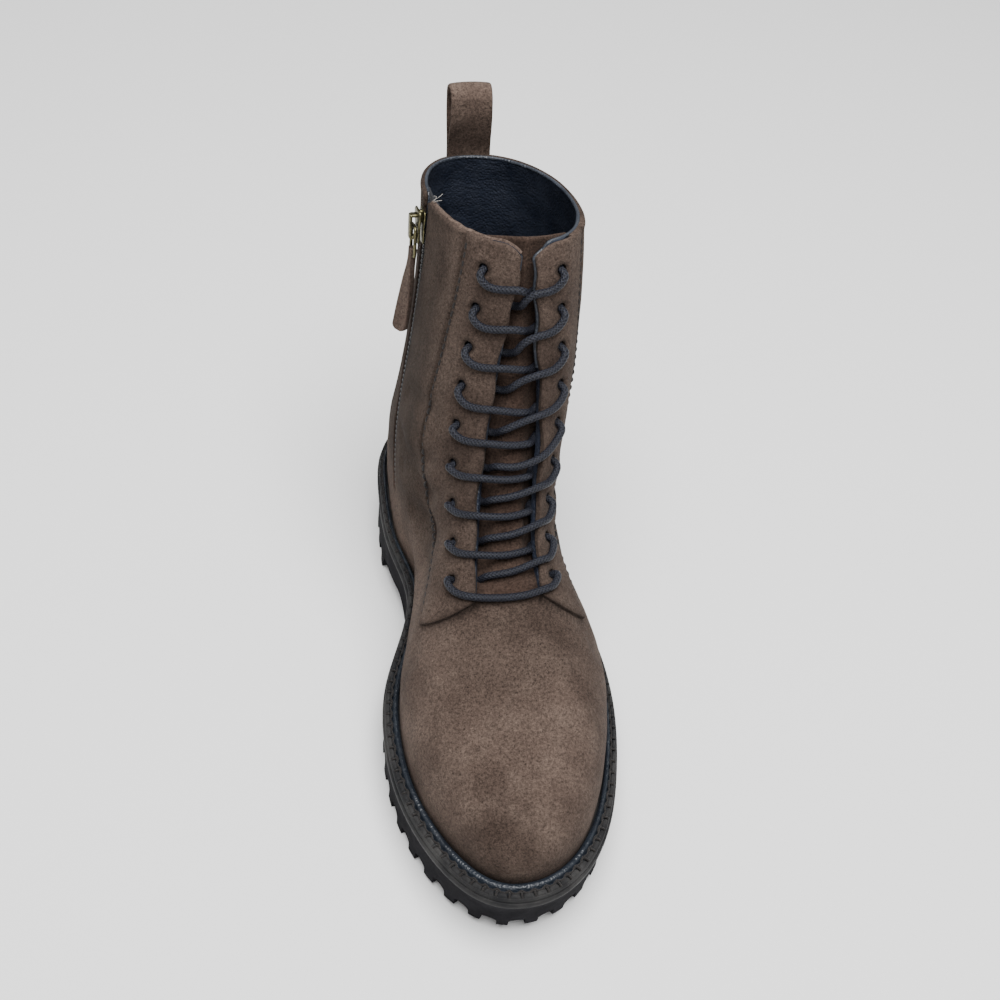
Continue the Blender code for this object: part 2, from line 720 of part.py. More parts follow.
def shell_angles(level):
    """Ring angles of the shell's columns, from the big-toe edge of the throat round the heel to
    the other edge. The ones beside the throat run with the facings' own columns."""
    sides = []
    for sign in (-1, 1):
        near = [edge_angle(level, facing_line(level, sign, share)) for share in facing_shares()]
        seam = facing_line(level, sign, 1.0)
        length = girth(level)[2][-1] / 2
        rest = []
        for share in np.linspace(0, 1, REAR_COLUMNS + 1)[1:-1]:
            even = edge_angle(level, seam + (sign * length - seam) * share)
            rest.append((even + near[-1] * (1 - share)) / 2)
        sides.append(np.array(near + rest + [0.0]))
    return np.concatenate([sides[0], sides[1][-2::-1]])


def make_upper(finish):
    """The hollow shell, from the outsole to the collar, open down the throat."""
    shape = bmesh.new()
    rows, bridges = [], []
    for level in shell_levels():
        angle = shell_angles(level)
        ring = upper_ring(level, angle)
        if level == 1:
            run = np.cumsum(np.linalg.norm(np.diff(ring, axis=0, prepend=ring[:1]), axis=1))
            ring = upper_ring(collar_level(np.minimum(run, run[-1] - run)), angle)
        if level == 0:
            ring[:, 2] = seat_height(ring[:, 1])
        rows.append([shape.verts.new(world(*p)) for p in ring])
        if level <= THROAT_LEVEL:
            gap = throat_half_gap(level)
            middle = upper_at(level, np.array([gap / 2, 0.0, -gap / 2]))
            if level == 0:
                middle[:, 2] = seat_height(middle[:, 1])
            bridges.append([shape.verts.new(world(*p)) for p in middle])
    across = [[row[-1], *bridge, row[0]] for row, bridge in zip(rows, bridges)]
    for grid in (rows, across):
        for low, high in zip(grid, grid[1:]):
            for i in range(len(low) - 1):
                shape.faces.new((low[i], low[i + 1], high[i + 1], high[i]))
    shell = add_object("upper", shape, finish)
    wall = shell.modifiers.new("wall", "SOLIDIFY")
    wall.thickness = WALL
    wall.offset = -1.0
    wall.use_even_offset = True
    return shell


def level_rate(from_back=False):
    """Length of surface that one whole level covers at the collar, at the ridge or the back."""
    ends = [upper_at(level, np.array([0.0]), from_back)[0] for level in (1.0 - LEVEL_STEP, 1.0)]
    return float(np.linalg.norm(ends[1] - ends[0])) / LEVEL_STEP


def collar_level(from_edge):
    """The collar's level, dropping in a round corner towards each edge of the throat."""
    share = np.clip(1 - from_edge / CORNER_RADIUS, 0, 1)
    return 1 - CORNER_DROP / level_rate() * share**2


def facing_line(level, sign, share):
    """Distance from the ridge across a facing: share is 0 at the throat edge, 1 at the seam."""
    spread = (1 - throat_share(level)) ** FACING_TAPER
    width = FACING_WIDTH_TOP + (FACING_WIDTH_LOW - FACING_WIDTH_TOP) * spread
    return sign * (throat_half_gap(level) + width * share)


def facing_foot(share):
    """Level of a facing's lower edge, which sweeps down and back from the throat."""
    return THROAT_LEVEL - FACING_SWEEP / level_rate() * (FACING_LIP + (1 - FACING_LIP) * share)


def make_facing(name, sign, finish, holes):
    """The eyelet panel on one side of the throat, laid over the upper."""
    shares = facing_shares()
    top = [float(collar_level(FACING_WIDTH_TOP * share)) for share in shares]
    grids = []
    for lift in (FACING_SEAT + FACING_THICKNESS, FACING_SEAT):
        rows = [[facing_foot(share) for share in shares]]
        rows.append([(facing_foot(share) + THROAT_LEVEL) / 2 for share in shares])
        rows += [[level] * len(shares) for level in throat_levels()[:-1]]
        rows.append(top)
        grid = []
        for row in rows:
            line = []
            for level, share in zip(row, shares):
                distance = np.array([facing_line(level, sign, share)])
                line.append(lifted(level, distance, lift)[0])
            grid.append(line)
        grids.append(grid)
    combine(plate(name, *grids, finish), holes, "eyelets")


def eyelet_distance(level, sign):
    """Distance of the eyelet line from the ridge; sign is 1 on the little-toe side."""
    inset = EYELET_INSET_LATERAL if sign > 0 else EYELET_INSET_MEDIAL
    return sign * (throat_half_gap(level) + inset)


def eyelet_levels():
    """Levels of the eyelet rows, LACE_PITCH apart down the eyelet line from the collar."""
    levels = np.linspace(1.0, THROAT_LEVEL - LEVEL_STEP, 121)
    line = [upper_at(v, np.array([eyelet_distance(v, 1)]))[0] for v in levels]
    run = np.concatenate([[0], np.cumsum(np.linalg.norm(np.diff(line, axis=0), axis=1))])
    return np.interp(FIRST_EYELET + LACE_PITCH * np.arange(LACE_ROWS), run, levels)


def make_eyelet_cutter():
    shape = bmesh.new()
    for level in eyelet_levels():
        for sign in (1, -1):
            distance = np.array([eyelet_distance(level, sign)])
            ends = [lifted(level, distance, lift)[0] for lift in (-2 * WALL, 2 * WALL)]
            add_tube(shape, [world(*end) for end in ends], EYELET_DIAMETER / 2)
    return add_object("eyelet_cutter", shape, None)


def tongue_lift():
    return -WALL - 2 * CLEARANCE


def make_tongue(finish):
    """The tongue, from under the vamp to just above the collar, inside the throat."""
    across = np.linspace(-1, 1, TONGUE_COLUMNS)
    foot = THROAT_LEVEL - TONGUE_LAP / level_rate()
    grids = []
    for lift in (tongue_lift(), tongue_lift() - TONGUE_THICKNESS):
        grid = []
        for row in np.linspace(0, 1, TONGUE_ROWS):
            line = []
            for share in across:
                top = 1 + (TONGUE_RISE - TONGUE_ROUND * share**2) / level_rate()
                level = foot + (top - foot) * row
                line.append(lifted(level, np.array([share * TONGUE_WIDTH / 2]), lift)[0])
            grid.append(line)
        grids.append(grid)
    plate("tongue", *grids, finish)


def zip_distance(level):
    """Distance of the zip's line from the middle of the back, on the big-toe side."""
    angle, _, run = girth(level)
    line = -math.acos(1 - 2 * (ZIP_SHARE_LOW + (ZIP_SHARE_TOP - ZIP_SHARE_LOW) * level))
    return float(np.interp(line, angle, run)) - run[len(run) // 2]


def zip_strip(name, levels, half_width, high, low, finish):
    """A strip along the zip's line between two heights over the upper's outer face."""
    across = np.array([-1.0, 0.0, 1.0]) * half_width
    grids = [
        [lifted(level, zip_distance(level) + across, lift, from_back=True) for level in levels]
        for lift in (high, low)
    ]
    return plate(name, *grids, finish)


def zip_levels(foot, top):
    return np.linspace(foot, top, ZIP_ROWS)


def slider_frame():
    """Frame at the pull's hinge: x across the zip, y up the zip, z out from the leg."""
    level = 1 - (ZIP_TOP_DROP + SLIDER_LENGTH / 2) / level_rate(from_back=True)
    middle = zip_distance(level)
    lift = CLEARANCE + SLIDER_THICKNESS + PIN_CLEARANCE + PIN_DIAMETER / 2
    reach = SLIDER_WIDTH / 2
    across = lifted(level, middle + np.array([-reach, reach]), lift, from_back=True)
    here = lifted(level, np.array([middle]), lift, from_back=True)[0]
    above = level + LEVEL_STEP
    there = lifted(above, np.array([zip_distance(above)]), lift, from_back=True)[0]
    x = (world(*across[0]) - world(*across[1])).normalized()
    y = world(*there) - world(*here)
    z = x.cross(y).normalized()
    if z.x > 0:
        x, z = -x, -z
    y = z.cross(x)
    frame = Matrix.Identity(4)
    for column, axis in enumerate((x, y, z, world(*here))):
        for row in range(3):
            frame[row][column] = axis[row]
    return frame


def add_box(shape, x, y, z):
    """A box between the limits of each axis."""
    corners = [shape.verts.new((x[i], y[j], z[k])) for i in (0, 1) for j in (0, 1) for k in (0, 1)]
    for quad in ((0, 1, 3, 2), (4, 6, 7, 5), (0, 4, 5, 1), (2, 3, 7, 6), (0, 2, 6, 4), (1, 5, 7, 3)):
        shape.faces.new([corners[i] for i in quad])


def make_slider(frame, finish):
    """The zip's slider with the arch that its pull hangs from."""
    drop = PIN_DIAMETER / 2 + PIN_CLEARANCE
    half = SLIDER_LENGTH / 2
    body = bmesh.new()
    add_box(body, (-SLIDER_WIDTH / 2, SLIDER_WIDTH / 2), (-half, half), (-drop - SLIDER_THICKNESS, -drop))
    base = add_object("zip_slider", body, finish)
    base.matrix_world = frame
    arch = bmesh.new()
    inside = drop
    outside = drop + BAIL_THICKNESS
    reach = BAIL_LENGTH / 2
    profile = [
        (-reach, -drop - SLIDER_THICKNESS / 2),
        (-reach, inside / 2),
        (-reach + BAIL_THICKNESS, outside),
        (reach - BAIL_THICKNESS, outside),
        (reach, inside / 2),
        (reach, -drop - SLIDER_THICKNESS / 2),
        (reach - BAIL_THICKNESS, -drop - SLIDER_THICKNESS / 2),
        (reach - BAIL_THICKNESS, 0.0),
        (reach - 2 * BAIL_THICKNESS, inside),
        (-reach + 2 * BAIL_THICKNESS, inside),
        (-reach + BAIL_THICKNESS, 0.0),
        (-reach + BAIL_THICKNESS, -drop - SLIDER_THICKNESS / 2),
    ]
    sides = [[arch.verts.new((x, *point)) for point in profile] for x in (-BAIL_WIDTH / 2, BAIL_WIDTH / 2)]
    for i in range(len(profile)):
        j = (i + 1) % len(profile)
        arch.faces.new((sides[0][i], sides[0][j], sides[1][j], sides[1][i]))
    for side in sides:
        arch.faces.new(side)
    staple = add_object("arch_guide", arch, None)
    staple.matrix_world = frame
    combine(base, staple, "arch", "UNION")


def make_pull(frame, finish):
    """The pull: a bar under the slider's arch, two arms beside it and a tab below them."""
    radius = PIN_DIAMETER / 2
    outer = PULL_WIDTH / 2
    inner = outer - ARM_WIDTH
    shape = bmesh.new()
    add_tube(shape, [(-outer + radius, 0, 0), (outer - radius, 0, 0)], radius, 10)
    arms = bmesh.new()
    for low, high in ((-outer, -inner), (inner, outer)):
        add_box(arms, (low, high), (-PULL_LINK - radius, radius), (-radius, radius))
    tab = bmesh.new()
    add_box(tab, (-outer, outer), (-PULL_LENGTH, -PULL_LINK), (-PULL_THICKNESS / 2, PULL_THICKNESS / 2))
    bar = add_object("zip_pull", shape, finish)
    bar.matrix_world = frame
    for name, piece in (("pull_arms_guide", arms), ("pull_tab_guide", tab)):
        guide = add_object(name, piece, None)
        guide.matrix_world = frame
        combine(bar, guide, name, "UNION")


def make_zip(tape_finish, metal, pull_finish, upper):
    """Tape and chain in a slot on the big-toe side, with the slider at the top."""
    slot = zip_strip("zip_slot_cutter", zip_levels(ZIP_FOOT_LEVEL, 1 + LEVEL_STEP), ZIP_SLOT / 2, WALL, -2 * WALL, None)
    combine(upper, slot, "zip_slot")
    top = 1 - CLEARANCE / level_rate(from_back=True)
    behind = -WALL - ZIP_SEAT
    low = ZIP_FOOT_LEVEL - LEVEL_STEP
    zip_strip("zip_tape", zip_levels(low, top), ZIP_TAPE_WIDTH / 2, behind, behind - ZIP_TAPE_THICKNESS, tape_finish)
    stop = 1 - ZIP_TOP_DROP / level_rate(from_back=True)
    low = ZIP_FOOT_LEVEL + CLEARANCE / level_rate(from_back=True)
    chain = -WALL + ZIP_CHAIN_THICKNESS
    zip_strip("zip_chain", zip_levels(low, stop), ZIP_CHAIN_WIDTH / 2, chain, -WALL, tape_finish)
    frame = slider_frame()
    make_slider(frame, metal)
    make_pull(frame, pull_finish)


def loop_route():
    """Centre line of the pull loop's strap as (rise over the collar, lift off the leg)."""
    inner = CLEARANCE + LOOP_THICKNESS / 2
    closed = (LOOP_THICKNESS + CLEARANCE) / 2
    middle = inner + closed
    top = (LOOP_OPENING + LOOP_THICKNESS) / 2
    crown = LOOP_RISE - top - LOOP_THICKNESS / 2
    leg = [(-LOOP_LAP * share, closed) for share in (1.0, 0.66, 0.33, 0.0)]
    leg += [
        (crown * share, closed + (top - closed) * float(smooth_step(share, 0.0, 0.85)))
        for share in (0.2, 0.4, 0.6, 0.8)
    ]
    turn = [
        (crown + top * math.sin(angle), top * math.cos(angle))
        for angle in np.linspace(0, math.pi, LOOP_TURN_POINTS)
    ]
    front = [(rise, middle - gap) for rise, gap in leg]
    over = [(rise, middle - gap) for rise, gap in turn]
    back = [(rise, middle + gap) for rise, gap in reversed(leg)]
    return front + over + back


def make_pull_loop(finish):
    """A strap folded over at the back of the collar, both ends on the outside of the leg."""
    route = np.array(loop_route())
    tangent = np.gradient(route, axis=0)
    normal = np.stack([-tangent[:, 1], tangent[:, 0]], axis=-1)
    normal /= np.linalg.norm(normal, axis=-1, keepdims=True)
    across = np.linspace(-LOOP_WIDTH / 2, LOOP_WIDTH / 2, LOOP_COLUMNS)
    rate = level_rate(from_back=True)
    grids = []
    for side in (LOOP_THICKNESS / 2, -LOOP_THICKNESS / 2):
        face = route + normal * side
        # The strap keeps its width as it leaves the round back of the leg.
        grids.append(
            [
                lifted(1 + rise / rate, across * BACK_RADIUS / (BACK_RADIUS + lift), lift, from_back=True)
                for rise, lift in face
            ]
        )
    plate("pull_loop", *grids, finish)


def lace_over():
    """Lift of a lace's middle where it lies on a facing."""
    return FACING_SEAT + FACING_THICKNESS + LACE_CLEARANCE + LACE_DIAMETER / 2


def lace_points(level, sign):
    """Half of one crossing: from an eyelet, over its facing, to the far edge of the throat."""
    gap = throat_half_gap(level)
    start = eyelet_distance(level, sign)
    stop = -sign * (gap - LACE_DIAMETER / 2 - CLEARANCE)
    low = tongue_lift() + LACE_CLEARANCE + LACE_DIAMETER / 2
    dive = float(smooth_step(gap, THROAT_GAP_TOP / 2, THROAT_GAP_LOW / 2))
    end_lift = lace_over() + (low - lace_over()) * dive
    points = []
    for share in np.linspace(0, 1, LACE_POINTS):
        distance = start + (stop - start) * share
        # Every half is at the same level where it meets the ridge.
        at = level - LACE_DROP / level_rate() * share * (start - stop) / start
        past = float(smooth_step(-sign * distance, -gap + LACE_DIAMETER / 2, gap))
        lift = lace_over() + (end_lift - lace_over()) * past
        points.append(world(*lifted(at, np.array([distance]), lift)[0]))
    return points


def make_laces(finish):
    """One crossing for each row of eyelets but the lowest, which has a plain bar."""
    levels = eyelet_levels()
    for row, level in enumerate(levels[:-1], 1):
        halves = []
        for sign, name in ((1, f"lace_{row}"), (-1, f"lace_{row}_guide")):
            shape = bmesh.new()
            add_tube(shape, lace_points(level, sign), LACE_DIAMETER / 2, LACE_SIDES)
            halves.append(add_object(name, shape, finish if sign > 0 else None))
        combine(halves[0], halves[1], "crossing", "UNION")
    ends = [eyelet_distance(levels[-1], sign) for sign in (-1, 1)]
    shape = bmesh.new()
    points = []
    for share in np.linspace(0, 1, 2 * LACE_POINTS):
        at = levels[-1] - LACE_SAG / level_rate() * 4 * share * (1 - share)
        distance = ends[0] + (ends[1] - ends[0]) * share
        points.append(world(*lifted(at, np.array([distance]), lace_over())[0]))
    add_tube(shape, points, LACE_DIAMETER / 2, LACE_SIDES)
    add_object("lace_bar", shape, finish)


def stand_on_floor(pieces):
    """Puts the middle of the whole boot's box over the origin and its lowest face on the floor."""
    bpy.context.view_layer.update()
    graph = bpy.context.evaluated_depsgraph_get()
    corners = []
    for piece in pieces:
        if piece.hide_render:
            continue
        shown = piece.evaluated_get(graph)
        mesh = shown.to_mesh()
        places = np.empty(len(mesh.vertices) * 3)
        mesh.vertices.foreach_get("co", places)
        shown.to_mesh_clear()
        turn = np.array(piece.matrix_world)
        places = places.reshape(-1, 3) @ turn[:3, :3].T + turn[:3, 3]
        corners += [places.min(axis=0), places.max(axis=0)]
    low, high = np.min(corners, axis=0), np.max(corners, axis=0)
    shift = Vector((-(low[0] + high[0]) / 2, -(low[1] + high[1]) / 2, -low[2]))
    for piece in pieces:
        piece.matrix_world = Matrix.Translation(shift) @ piece.matrix_world


def main():
    for old in list(bpy.data.objects):
        bpy.data.objects.remove(old)
    rubber = material("sole_rubber", (0.035, 0.031, 0.030), 0.55)
    welt_black = material("welt", (0.020, 0.024, 0.032), 0.45)
    suede = material("suede", (0.085, 0.062, 0.050), 0.9)
    tongue_suede = material("tongue_suede", (0.070, 0.045, 0.036), 0.9)
    lining = material("lining", (0.016, 0.018, 0.026), 0.5)
    cord = material("lace_cord", (0.022, 0.026, 0.036), 0.6)
    tape = material("zip_tape", (0.010, 0.011, 0.014), 0.7)
    brass = material("aged_brass", (0.16, 0.14, 0.07), 0.35, 1.0)
    make_outsole(rubber)
    make_welt(welt_black)
    make_insole(lining)
    upper = make_upper(suede)
    holes = make_eyelet_cutter()
    combine(upper, holes, "eyelets")
    make_facing("facing_medial", -1, suede, holes)
    make_facing("facing_lateral", 1, suede, holes)
    make_tongue(tongue_suede)
    make_zip(tape, brass, suede, upper)
    make_pull_loop(suede)
    make_laces(cord)
    stand_on_floor(list(bpy.data.objects))


main()
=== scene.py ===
"""Looks of the lace-up ankle boot: suede upper, waxed laces, side zip and a stitched rubber sole.

Metres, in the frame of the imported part: +Z up, toe along -Y, little toe on +X.

A place on the upper is written as (level, run). level is 0 at the sole and 1 at the collar.
run is the distance along the ring at that level, from the front ridge backwards along the
big-toe side, round the heel and on to the ridge again. ridge() and back() give a run from a
distance beside the ridge or beside the middle of the back, + towards the little toe. skin()
turns such places into points, lifted square to the surface.
"""

import json
import math

import bmesh
import bpy
import numpy as np
from mathutils import Matrix, Vector, noise

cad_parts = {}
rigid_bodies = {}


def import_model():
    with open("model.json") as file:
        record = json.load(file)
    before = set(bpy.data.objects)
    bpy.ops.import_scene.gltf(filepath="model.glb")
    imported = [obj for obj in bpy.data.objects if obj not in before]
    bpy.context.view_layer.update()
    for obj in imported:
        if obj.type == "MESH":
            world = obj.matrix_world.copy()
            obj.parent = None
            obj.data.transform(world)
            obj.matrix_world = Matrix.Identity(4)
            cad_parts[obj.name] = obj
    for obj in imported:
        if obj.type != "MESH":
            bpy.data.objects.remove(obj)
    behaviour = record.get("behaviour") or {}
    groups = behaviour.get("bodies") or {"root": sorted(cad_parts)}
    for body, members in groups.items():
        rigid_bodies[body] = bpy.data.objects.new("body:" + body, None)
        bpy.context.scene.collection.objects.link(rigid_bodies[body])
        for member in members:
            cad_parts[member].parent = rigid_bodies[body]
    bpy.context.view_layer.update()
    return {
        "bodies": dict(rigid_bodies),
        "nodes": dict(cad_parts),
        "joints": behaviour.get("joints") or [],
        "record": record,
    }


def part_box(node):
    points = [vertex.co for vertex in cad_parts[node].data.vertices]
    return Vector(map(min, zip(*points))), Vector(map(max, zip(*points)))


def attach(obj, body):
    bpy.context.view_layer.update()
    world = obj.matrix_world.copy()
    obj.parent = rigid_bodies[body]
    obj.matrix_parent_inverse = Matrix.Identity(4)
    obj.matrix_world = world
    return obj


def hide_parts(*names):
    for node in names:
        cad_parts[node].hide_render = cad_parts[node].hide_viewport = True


# The shoe's own sizes, the same as those of the part
SOLE_LENGTH = 0.284
BALL_WIDTH = 0.1065
HEEL_HEIGHT = 0.042
FOREFOOT_HEIGHT = 0.030
TOE_SPRING = 0.0085
HEEL_END_RADIUS = 0.035
TOE_RADIUS_MEDIAL = 0.031
TOE_RADIUS_LATERAL = 0.039
RIM_HEIGHT = 0.0045
RIM_STEP = 0.0012
SOLE_FLARE = 0.0010
TOE_UNDERCUT = 0.0045
ARCH_RISE = 0.013
HEEL_BREAST = 0.076
FOREFOOT_START = 0.122
BREAST_SLOPE = 0.006
BREAST_RUN = 0.020
SPRING_START = 0.74
BAR_PITCH = 0.016
LUG_DEPTH = 0.0060
LUG_PITCH = 0.0142
LUG_GAP = 0.0046
LUG_LENGTH = 0.0115
CHANNEL_WIDTH = 0.0045
WELT_THICKNESS = 0.0028
WELT_BEAD_HEIGHT = 0.0012
WELT_INSET = 0.0009
WELT_SEAT = 0.0008
MARGIN_HEEL = 0.0050
MARGIN_MEDIAL = 0.0077
MARGIN_LATERAL = 0.0056
MARGIN_TOE = 0.0092
WALL = 0.0020
UPPER_LENGTH = 0.270
FRONT_HEIGHT = 0.1755
BACK_HEIGHT = 0.1600
COLLAR_WIDTH = 0.0660
RIDGE_SHIFT = 0.0152
VAMP_FULLNESS = 2.35
INSTEP_FULLNESS_MEDIAL = 2.2
INSTEP_FULLNESS_LATERAL = 1.22
ARCH_BULGE = 0.0035
SIDE_STAND = 0.14
COLLAR_FULLNESS = 2.15
ARCH_CENTRE = 0.43
ARCH_REACH = 0.17
FACING_THICKNESS = 0.0014
THROAT_GAP_LOW = 0.0305
THROAT_GAP_TOP = 0.0046
CORNER_RADIUS = 0.0090
CORNER_DROP = 0.0055
FACING_SEAT = 0.00045
FACING_WIDTH_TOP = 0.0255
FACING_WIDTH_LOW = 0.0530
FACING_SWEEP = 0.0340
LACE_DIAMETER = 0.0033
LACE_ROWS = 9
LACE_PITCH = 0.0175
FIRST_EYELET = 0.0122
EYELET_INSET_MEDIAL = 0.0146
EYELET_INSET_LATERAL = 0.0110
EYELET_DIAMETER = 0.0046
TONGUE_THICKNESS = 0.0022
TONGUE_WIDTH = 0.0600
TONGUE_RISE = 0.0005
TONGUE_ROUND = 0.0040
TONGUE_LAP = 0.0180
ZIP_SLOT = 0.0064
ZIP_TAPE_WIDTH = 0.0180
ZIP_TAPE_THICKNESS = 0.0008
ZIP_SEAT = 0.0006
ZIP_FOOT_LEVEL = 0.33
ZIP_TOP_DROP = 0.0095
ZIP_SHARE_LOW = 0.25
ZIP_SHARE_TOP = 0.48
SLIDER_LENGTH = 0.0150
SLIDER_WIDTH = 0.0092
SLIDER_THICKNESS = 0.0030
PULL_LENGTH = 0.0490
PULL_LINK = 0.0120
PULL_WIDTH = 0.0085
PULL_THICKNESS = 0.0026
PIN_DIAMETER = 0.0016
PIN_CLEARANCE = 0.0004
LOOP_WIDTH = 0.0195
LOOP_THICKNESS = 0.0016
LOOP_RISE = 0.0325
LOOP_LAP = 0.024
LOOP_OPENING = 0.0085
BACK_RADIUS = 0.030
CLEARANCE = 0.0003
THROAT_LEVEL = 7 / 13
LEVEL_STEP = 0.02
SHANK_START = 0.20
SHANK_END = 0.56
TOE_LIFT_START = 0.70
MARGIN_START = 0.30
MARGIN_END = 0.58
FULLNESS_START = 0.44
FULLNESS_END = 0.78
SETTLE_LEVEL = 0.55
GAP_EASE_START = -0.05
GAP_EASE_END = 0.90
FACING_TAPER = 2.2
FACING_LIP = 0.06
CHANNEL_DEPTH_SHARE = 0.9
BAR_DEPTH_SHARE = 0.8

# The rim of the sole: half widths as shares of BALL_WIDTH, at shares of SOLE_LENGTH
OUTLINE = (
    # along, medial, lateral
    (0.106, 0.382, 0.352),
    (0.211, 0.414, 0.384),
    (0.335, 0.380, 0.398),
    (0.423, 0.322, 0.424),
    (0.511, 0.376, 0.492),
    (0.599, 0.452, 0.530),
    (0.687, 0.473, 0.526),
    (0.775, 0.449, 0.488),
    (0.863, 0.378, 0.421),
    (0.933, 0.279, 0.320),
)

# Rings of the upper, from the feather edge to the collar, as the part has them
SECTIONS = (
    # front, rise_front, back, rise_back, medial, lateral, leg, shift
    (1.000, 0.000, 0.000, 0.000, 0.56, 0.56, 0.00, 0.00),
    (1.000, 0.032, -0.002, 0.030, 0.56, 0.56, 0.00, 0.00),
    (0.988, 0.082, -0.006, 0.058, 0.56, 0.56, 0.00, 0.02),
    (0.955, 0.132, -0.008, 0.086, 0.56, 0.56, 0.00, 0.06),
    (0.889, 0.186, -0.008, 0.116, 0.56, 0.56, 0.00, 0.12),
    (0.795, 0.240, -0.007, 0.150, 0.56, 0.56, 0.00, 0.20),
    (0.705, 0.288, -0.004, 0.190, 0.57, 0.56, 0.00, 0.28),
    (0.620, 0.345, 0.004, 0.240, 0.58, 0.56, 0.05, 0.36),
    (0.540, 0.425, 0.013, 0.312, 0.57, 0.55, 0.28, 0.46),
    (0.463, 0.530, 0.020, 0.405, 0.55, 0.55, 0.62, 0.60),
    (0.399, 0.660, 0.022, 0.525, 0.52, 0.55, 0.90, 0.75),
    (0.355, 0.790, 0.018, 0.665, 0.49, 0.54, 1.00, 0.86),
    (0.327, 0.905, 0.010, 0.830, 0.465, 0.53, 1.00, 0.94),
    (0.309, 1.000, 0.000, 1.000, 0.455, 0.50, 1.00, 1.00),
)


def spline(knots, values, places):
    """Natural cubic curve through the values at the knots."""
    x = np.asarray(knots, float)
    y = np.asarray(values, float)
    step = np.diff(x)
    rows = np.zeros((len(x), len(x)))
    right = np.zeros(len(x))
    rows[0, 0] = rows[-1, -1] = 1.0
    for i in range(1, len(x) - 1):
        rows[i, i - 1 : i + 2] = step[i - 1], 2 * (step[i - 1] + step[i]), step[i]
        right[i] = 6 * ((y[i + 1] - y[i]) / step[i] - (y[i] - y[i - 1]) / step[i - 1])
    bend = np.linalg.solve(rows, right)
    p = np.clip(np.asarray(places, float), x[0], x[-1])
    i = np.clip(np.searchsorted(x, p) - 1, 0, len(step) - 1)
    a = (x[i + 1] - p) / step[i]
    b = 1 - a
    curve = (a**3 - a) * bend[i] + (b**3 - b) * bend[i + 1]
    return a * y[i] + b * y[i + 1] + curve * step[i] ** 2 / 6


def smooth_step(x, low, high):
    """0 below low, 1 above high and a smooth rise between them."""
    t = np.clip((np.asarray(x, float) - low) / (high - low), 0, 1)
    return t * t * (3 - 2 * t)


def distances(points):
    """Distance along a line of points, at each of them."""
    return np.concatenate([[0], np.cumsum(np.linalg.norm(np.diff(points, axis=0), axis=1))])


def sample(places, knots, values):
    """Rows of values at places between the knots."""
    return np.stack([np.interp(places, knots, column) for column in values.T], axis=-1)


def bell(x, middle, width):
    """1 at the middle, falling smoothly to 0 on both sides."""
    return np.exp(-(((x - middle) / width) ** 2))


def rounding(far, size):
    """1 at an edge, falling to 0 at size from it."""
    return np.clip(1 - far / size, 0, 1) ** 2


def rim_half_width(angle, lateral):
    """Half width of the sole's rim. angle runs from 0 at the heel to pi at the toe."""
    column = 2 if lateral else 1
    toe_radius = TOE_RADIUS_LATERAL if lateral else TOE_RADIUS_MEDIAL
    round_end = math.sqrt(SOLE_LENGTH / 2)
    knots = [0.0]
    fullness = [round_end * math.sqrt(HEEL_END_RADIUS)]
    for row in OUTLINE:
        at = math.acos(1 - 2 * row[0])
        knots.append(at)
        fullness.append(row[column] * BALL_WIDTH / math.sin(at))
    knots.append(math.pi)
    fullness.append(round_end * math.sqrt(toe_radius))
    return spline(knots, fullness, angle) * np.sin(angle)


def rim_curve(inset, angle):
    """(side, ahead) round the sole's rim, moved inwards by inset."""
    fine = np.linspace(0, 2 * math.pi, 2881)[:-1]
    lateral = fine <= math.pi
    side = np.where(lateral, rim_half_width(fine, True), -rim_half_width(2 * math.pi - fine, False))
    ahead = SOLE_LENGTH * (1 - np.cos(fine)) / 2
    tangent_side = np.roll(side, -1) - np.roll(side, 1)
    tangent_ahead = np.roll(ahead, -1) - np.roll(ahead, 1)
    size = np.hypot(tangent_side, tangent_ahead)
    turned = np.mod(angle, 2 * math.pi)

    def at(values):
        return np.interp(turned, fine, values, period=2 * math.pi)

    return (
        at(side) - inset * at(tangent_ahead / size),
        at(ahead) + inset * at(tangent_side / size),
    )


def sole_top(ahead):
    """Height of the sole's top edge along the foot: heel seat, shank and toe spring."""
    share = np.asarray(ahead) / SOLE_LENGTH
    drop = smooth_step(share, SHANK_START, SHANK_END)
    toe = np.clip((share - TOE_LIFT_START) / (1 - TOE_LIFT_START), 0, 1) ** 2
    return HEEL_HEIGHT + (FOREFOOT_HEIGHT - HEEL_HEIGHT) * drop + TOE_SPRING * toe


def tread(ahead):
    """Height of the lugs' lowest faces: flat on the floor, rising to the toe."""
    share = np.asarray(ahead) / SOLE_LENGTH
    return TOE_SPRING * np.clip((share - SPRING_START) / (1 - SPRING_START), 0, 1) ** 2


def welt_margin(angle):
    """Width of sole that shows beside the upper, round the foot."""
    across = np.sin(angle) ** 2
    side = np.where(np.sin(angle) > 0, MARGIN_LATERAL, MARGIN_MEDIAL)
    fore = side * across + MARGIN_TOE * (1 - across)
    share = (1 - np.cos(angle)) / 2
    return MARGIN_HEEL + (fore - MARGIN_HEEL) * smooth_step(share, MARGIN_START, MARGIN_END)


def feather_half_width(ahead, lateral):
    """Half width of the upper where it meets the sole."""
    angle = np.linspace(0, math.pi, 361)
    if not lateral:
        angle = 2 * math.pi - angle
    side, along = rim_curve(welt_margin(angle), angle)
    return np.interp(ahead, along, np.abs(side), left=0.0, right=0.0)


def section_values(level):
    """The SECTIONS columns at this level."""
    knots = np.linspace(0, 1, len(SECTIONS))
    return [spline(knots, column, level) for column in zip(*SECTIONS)]


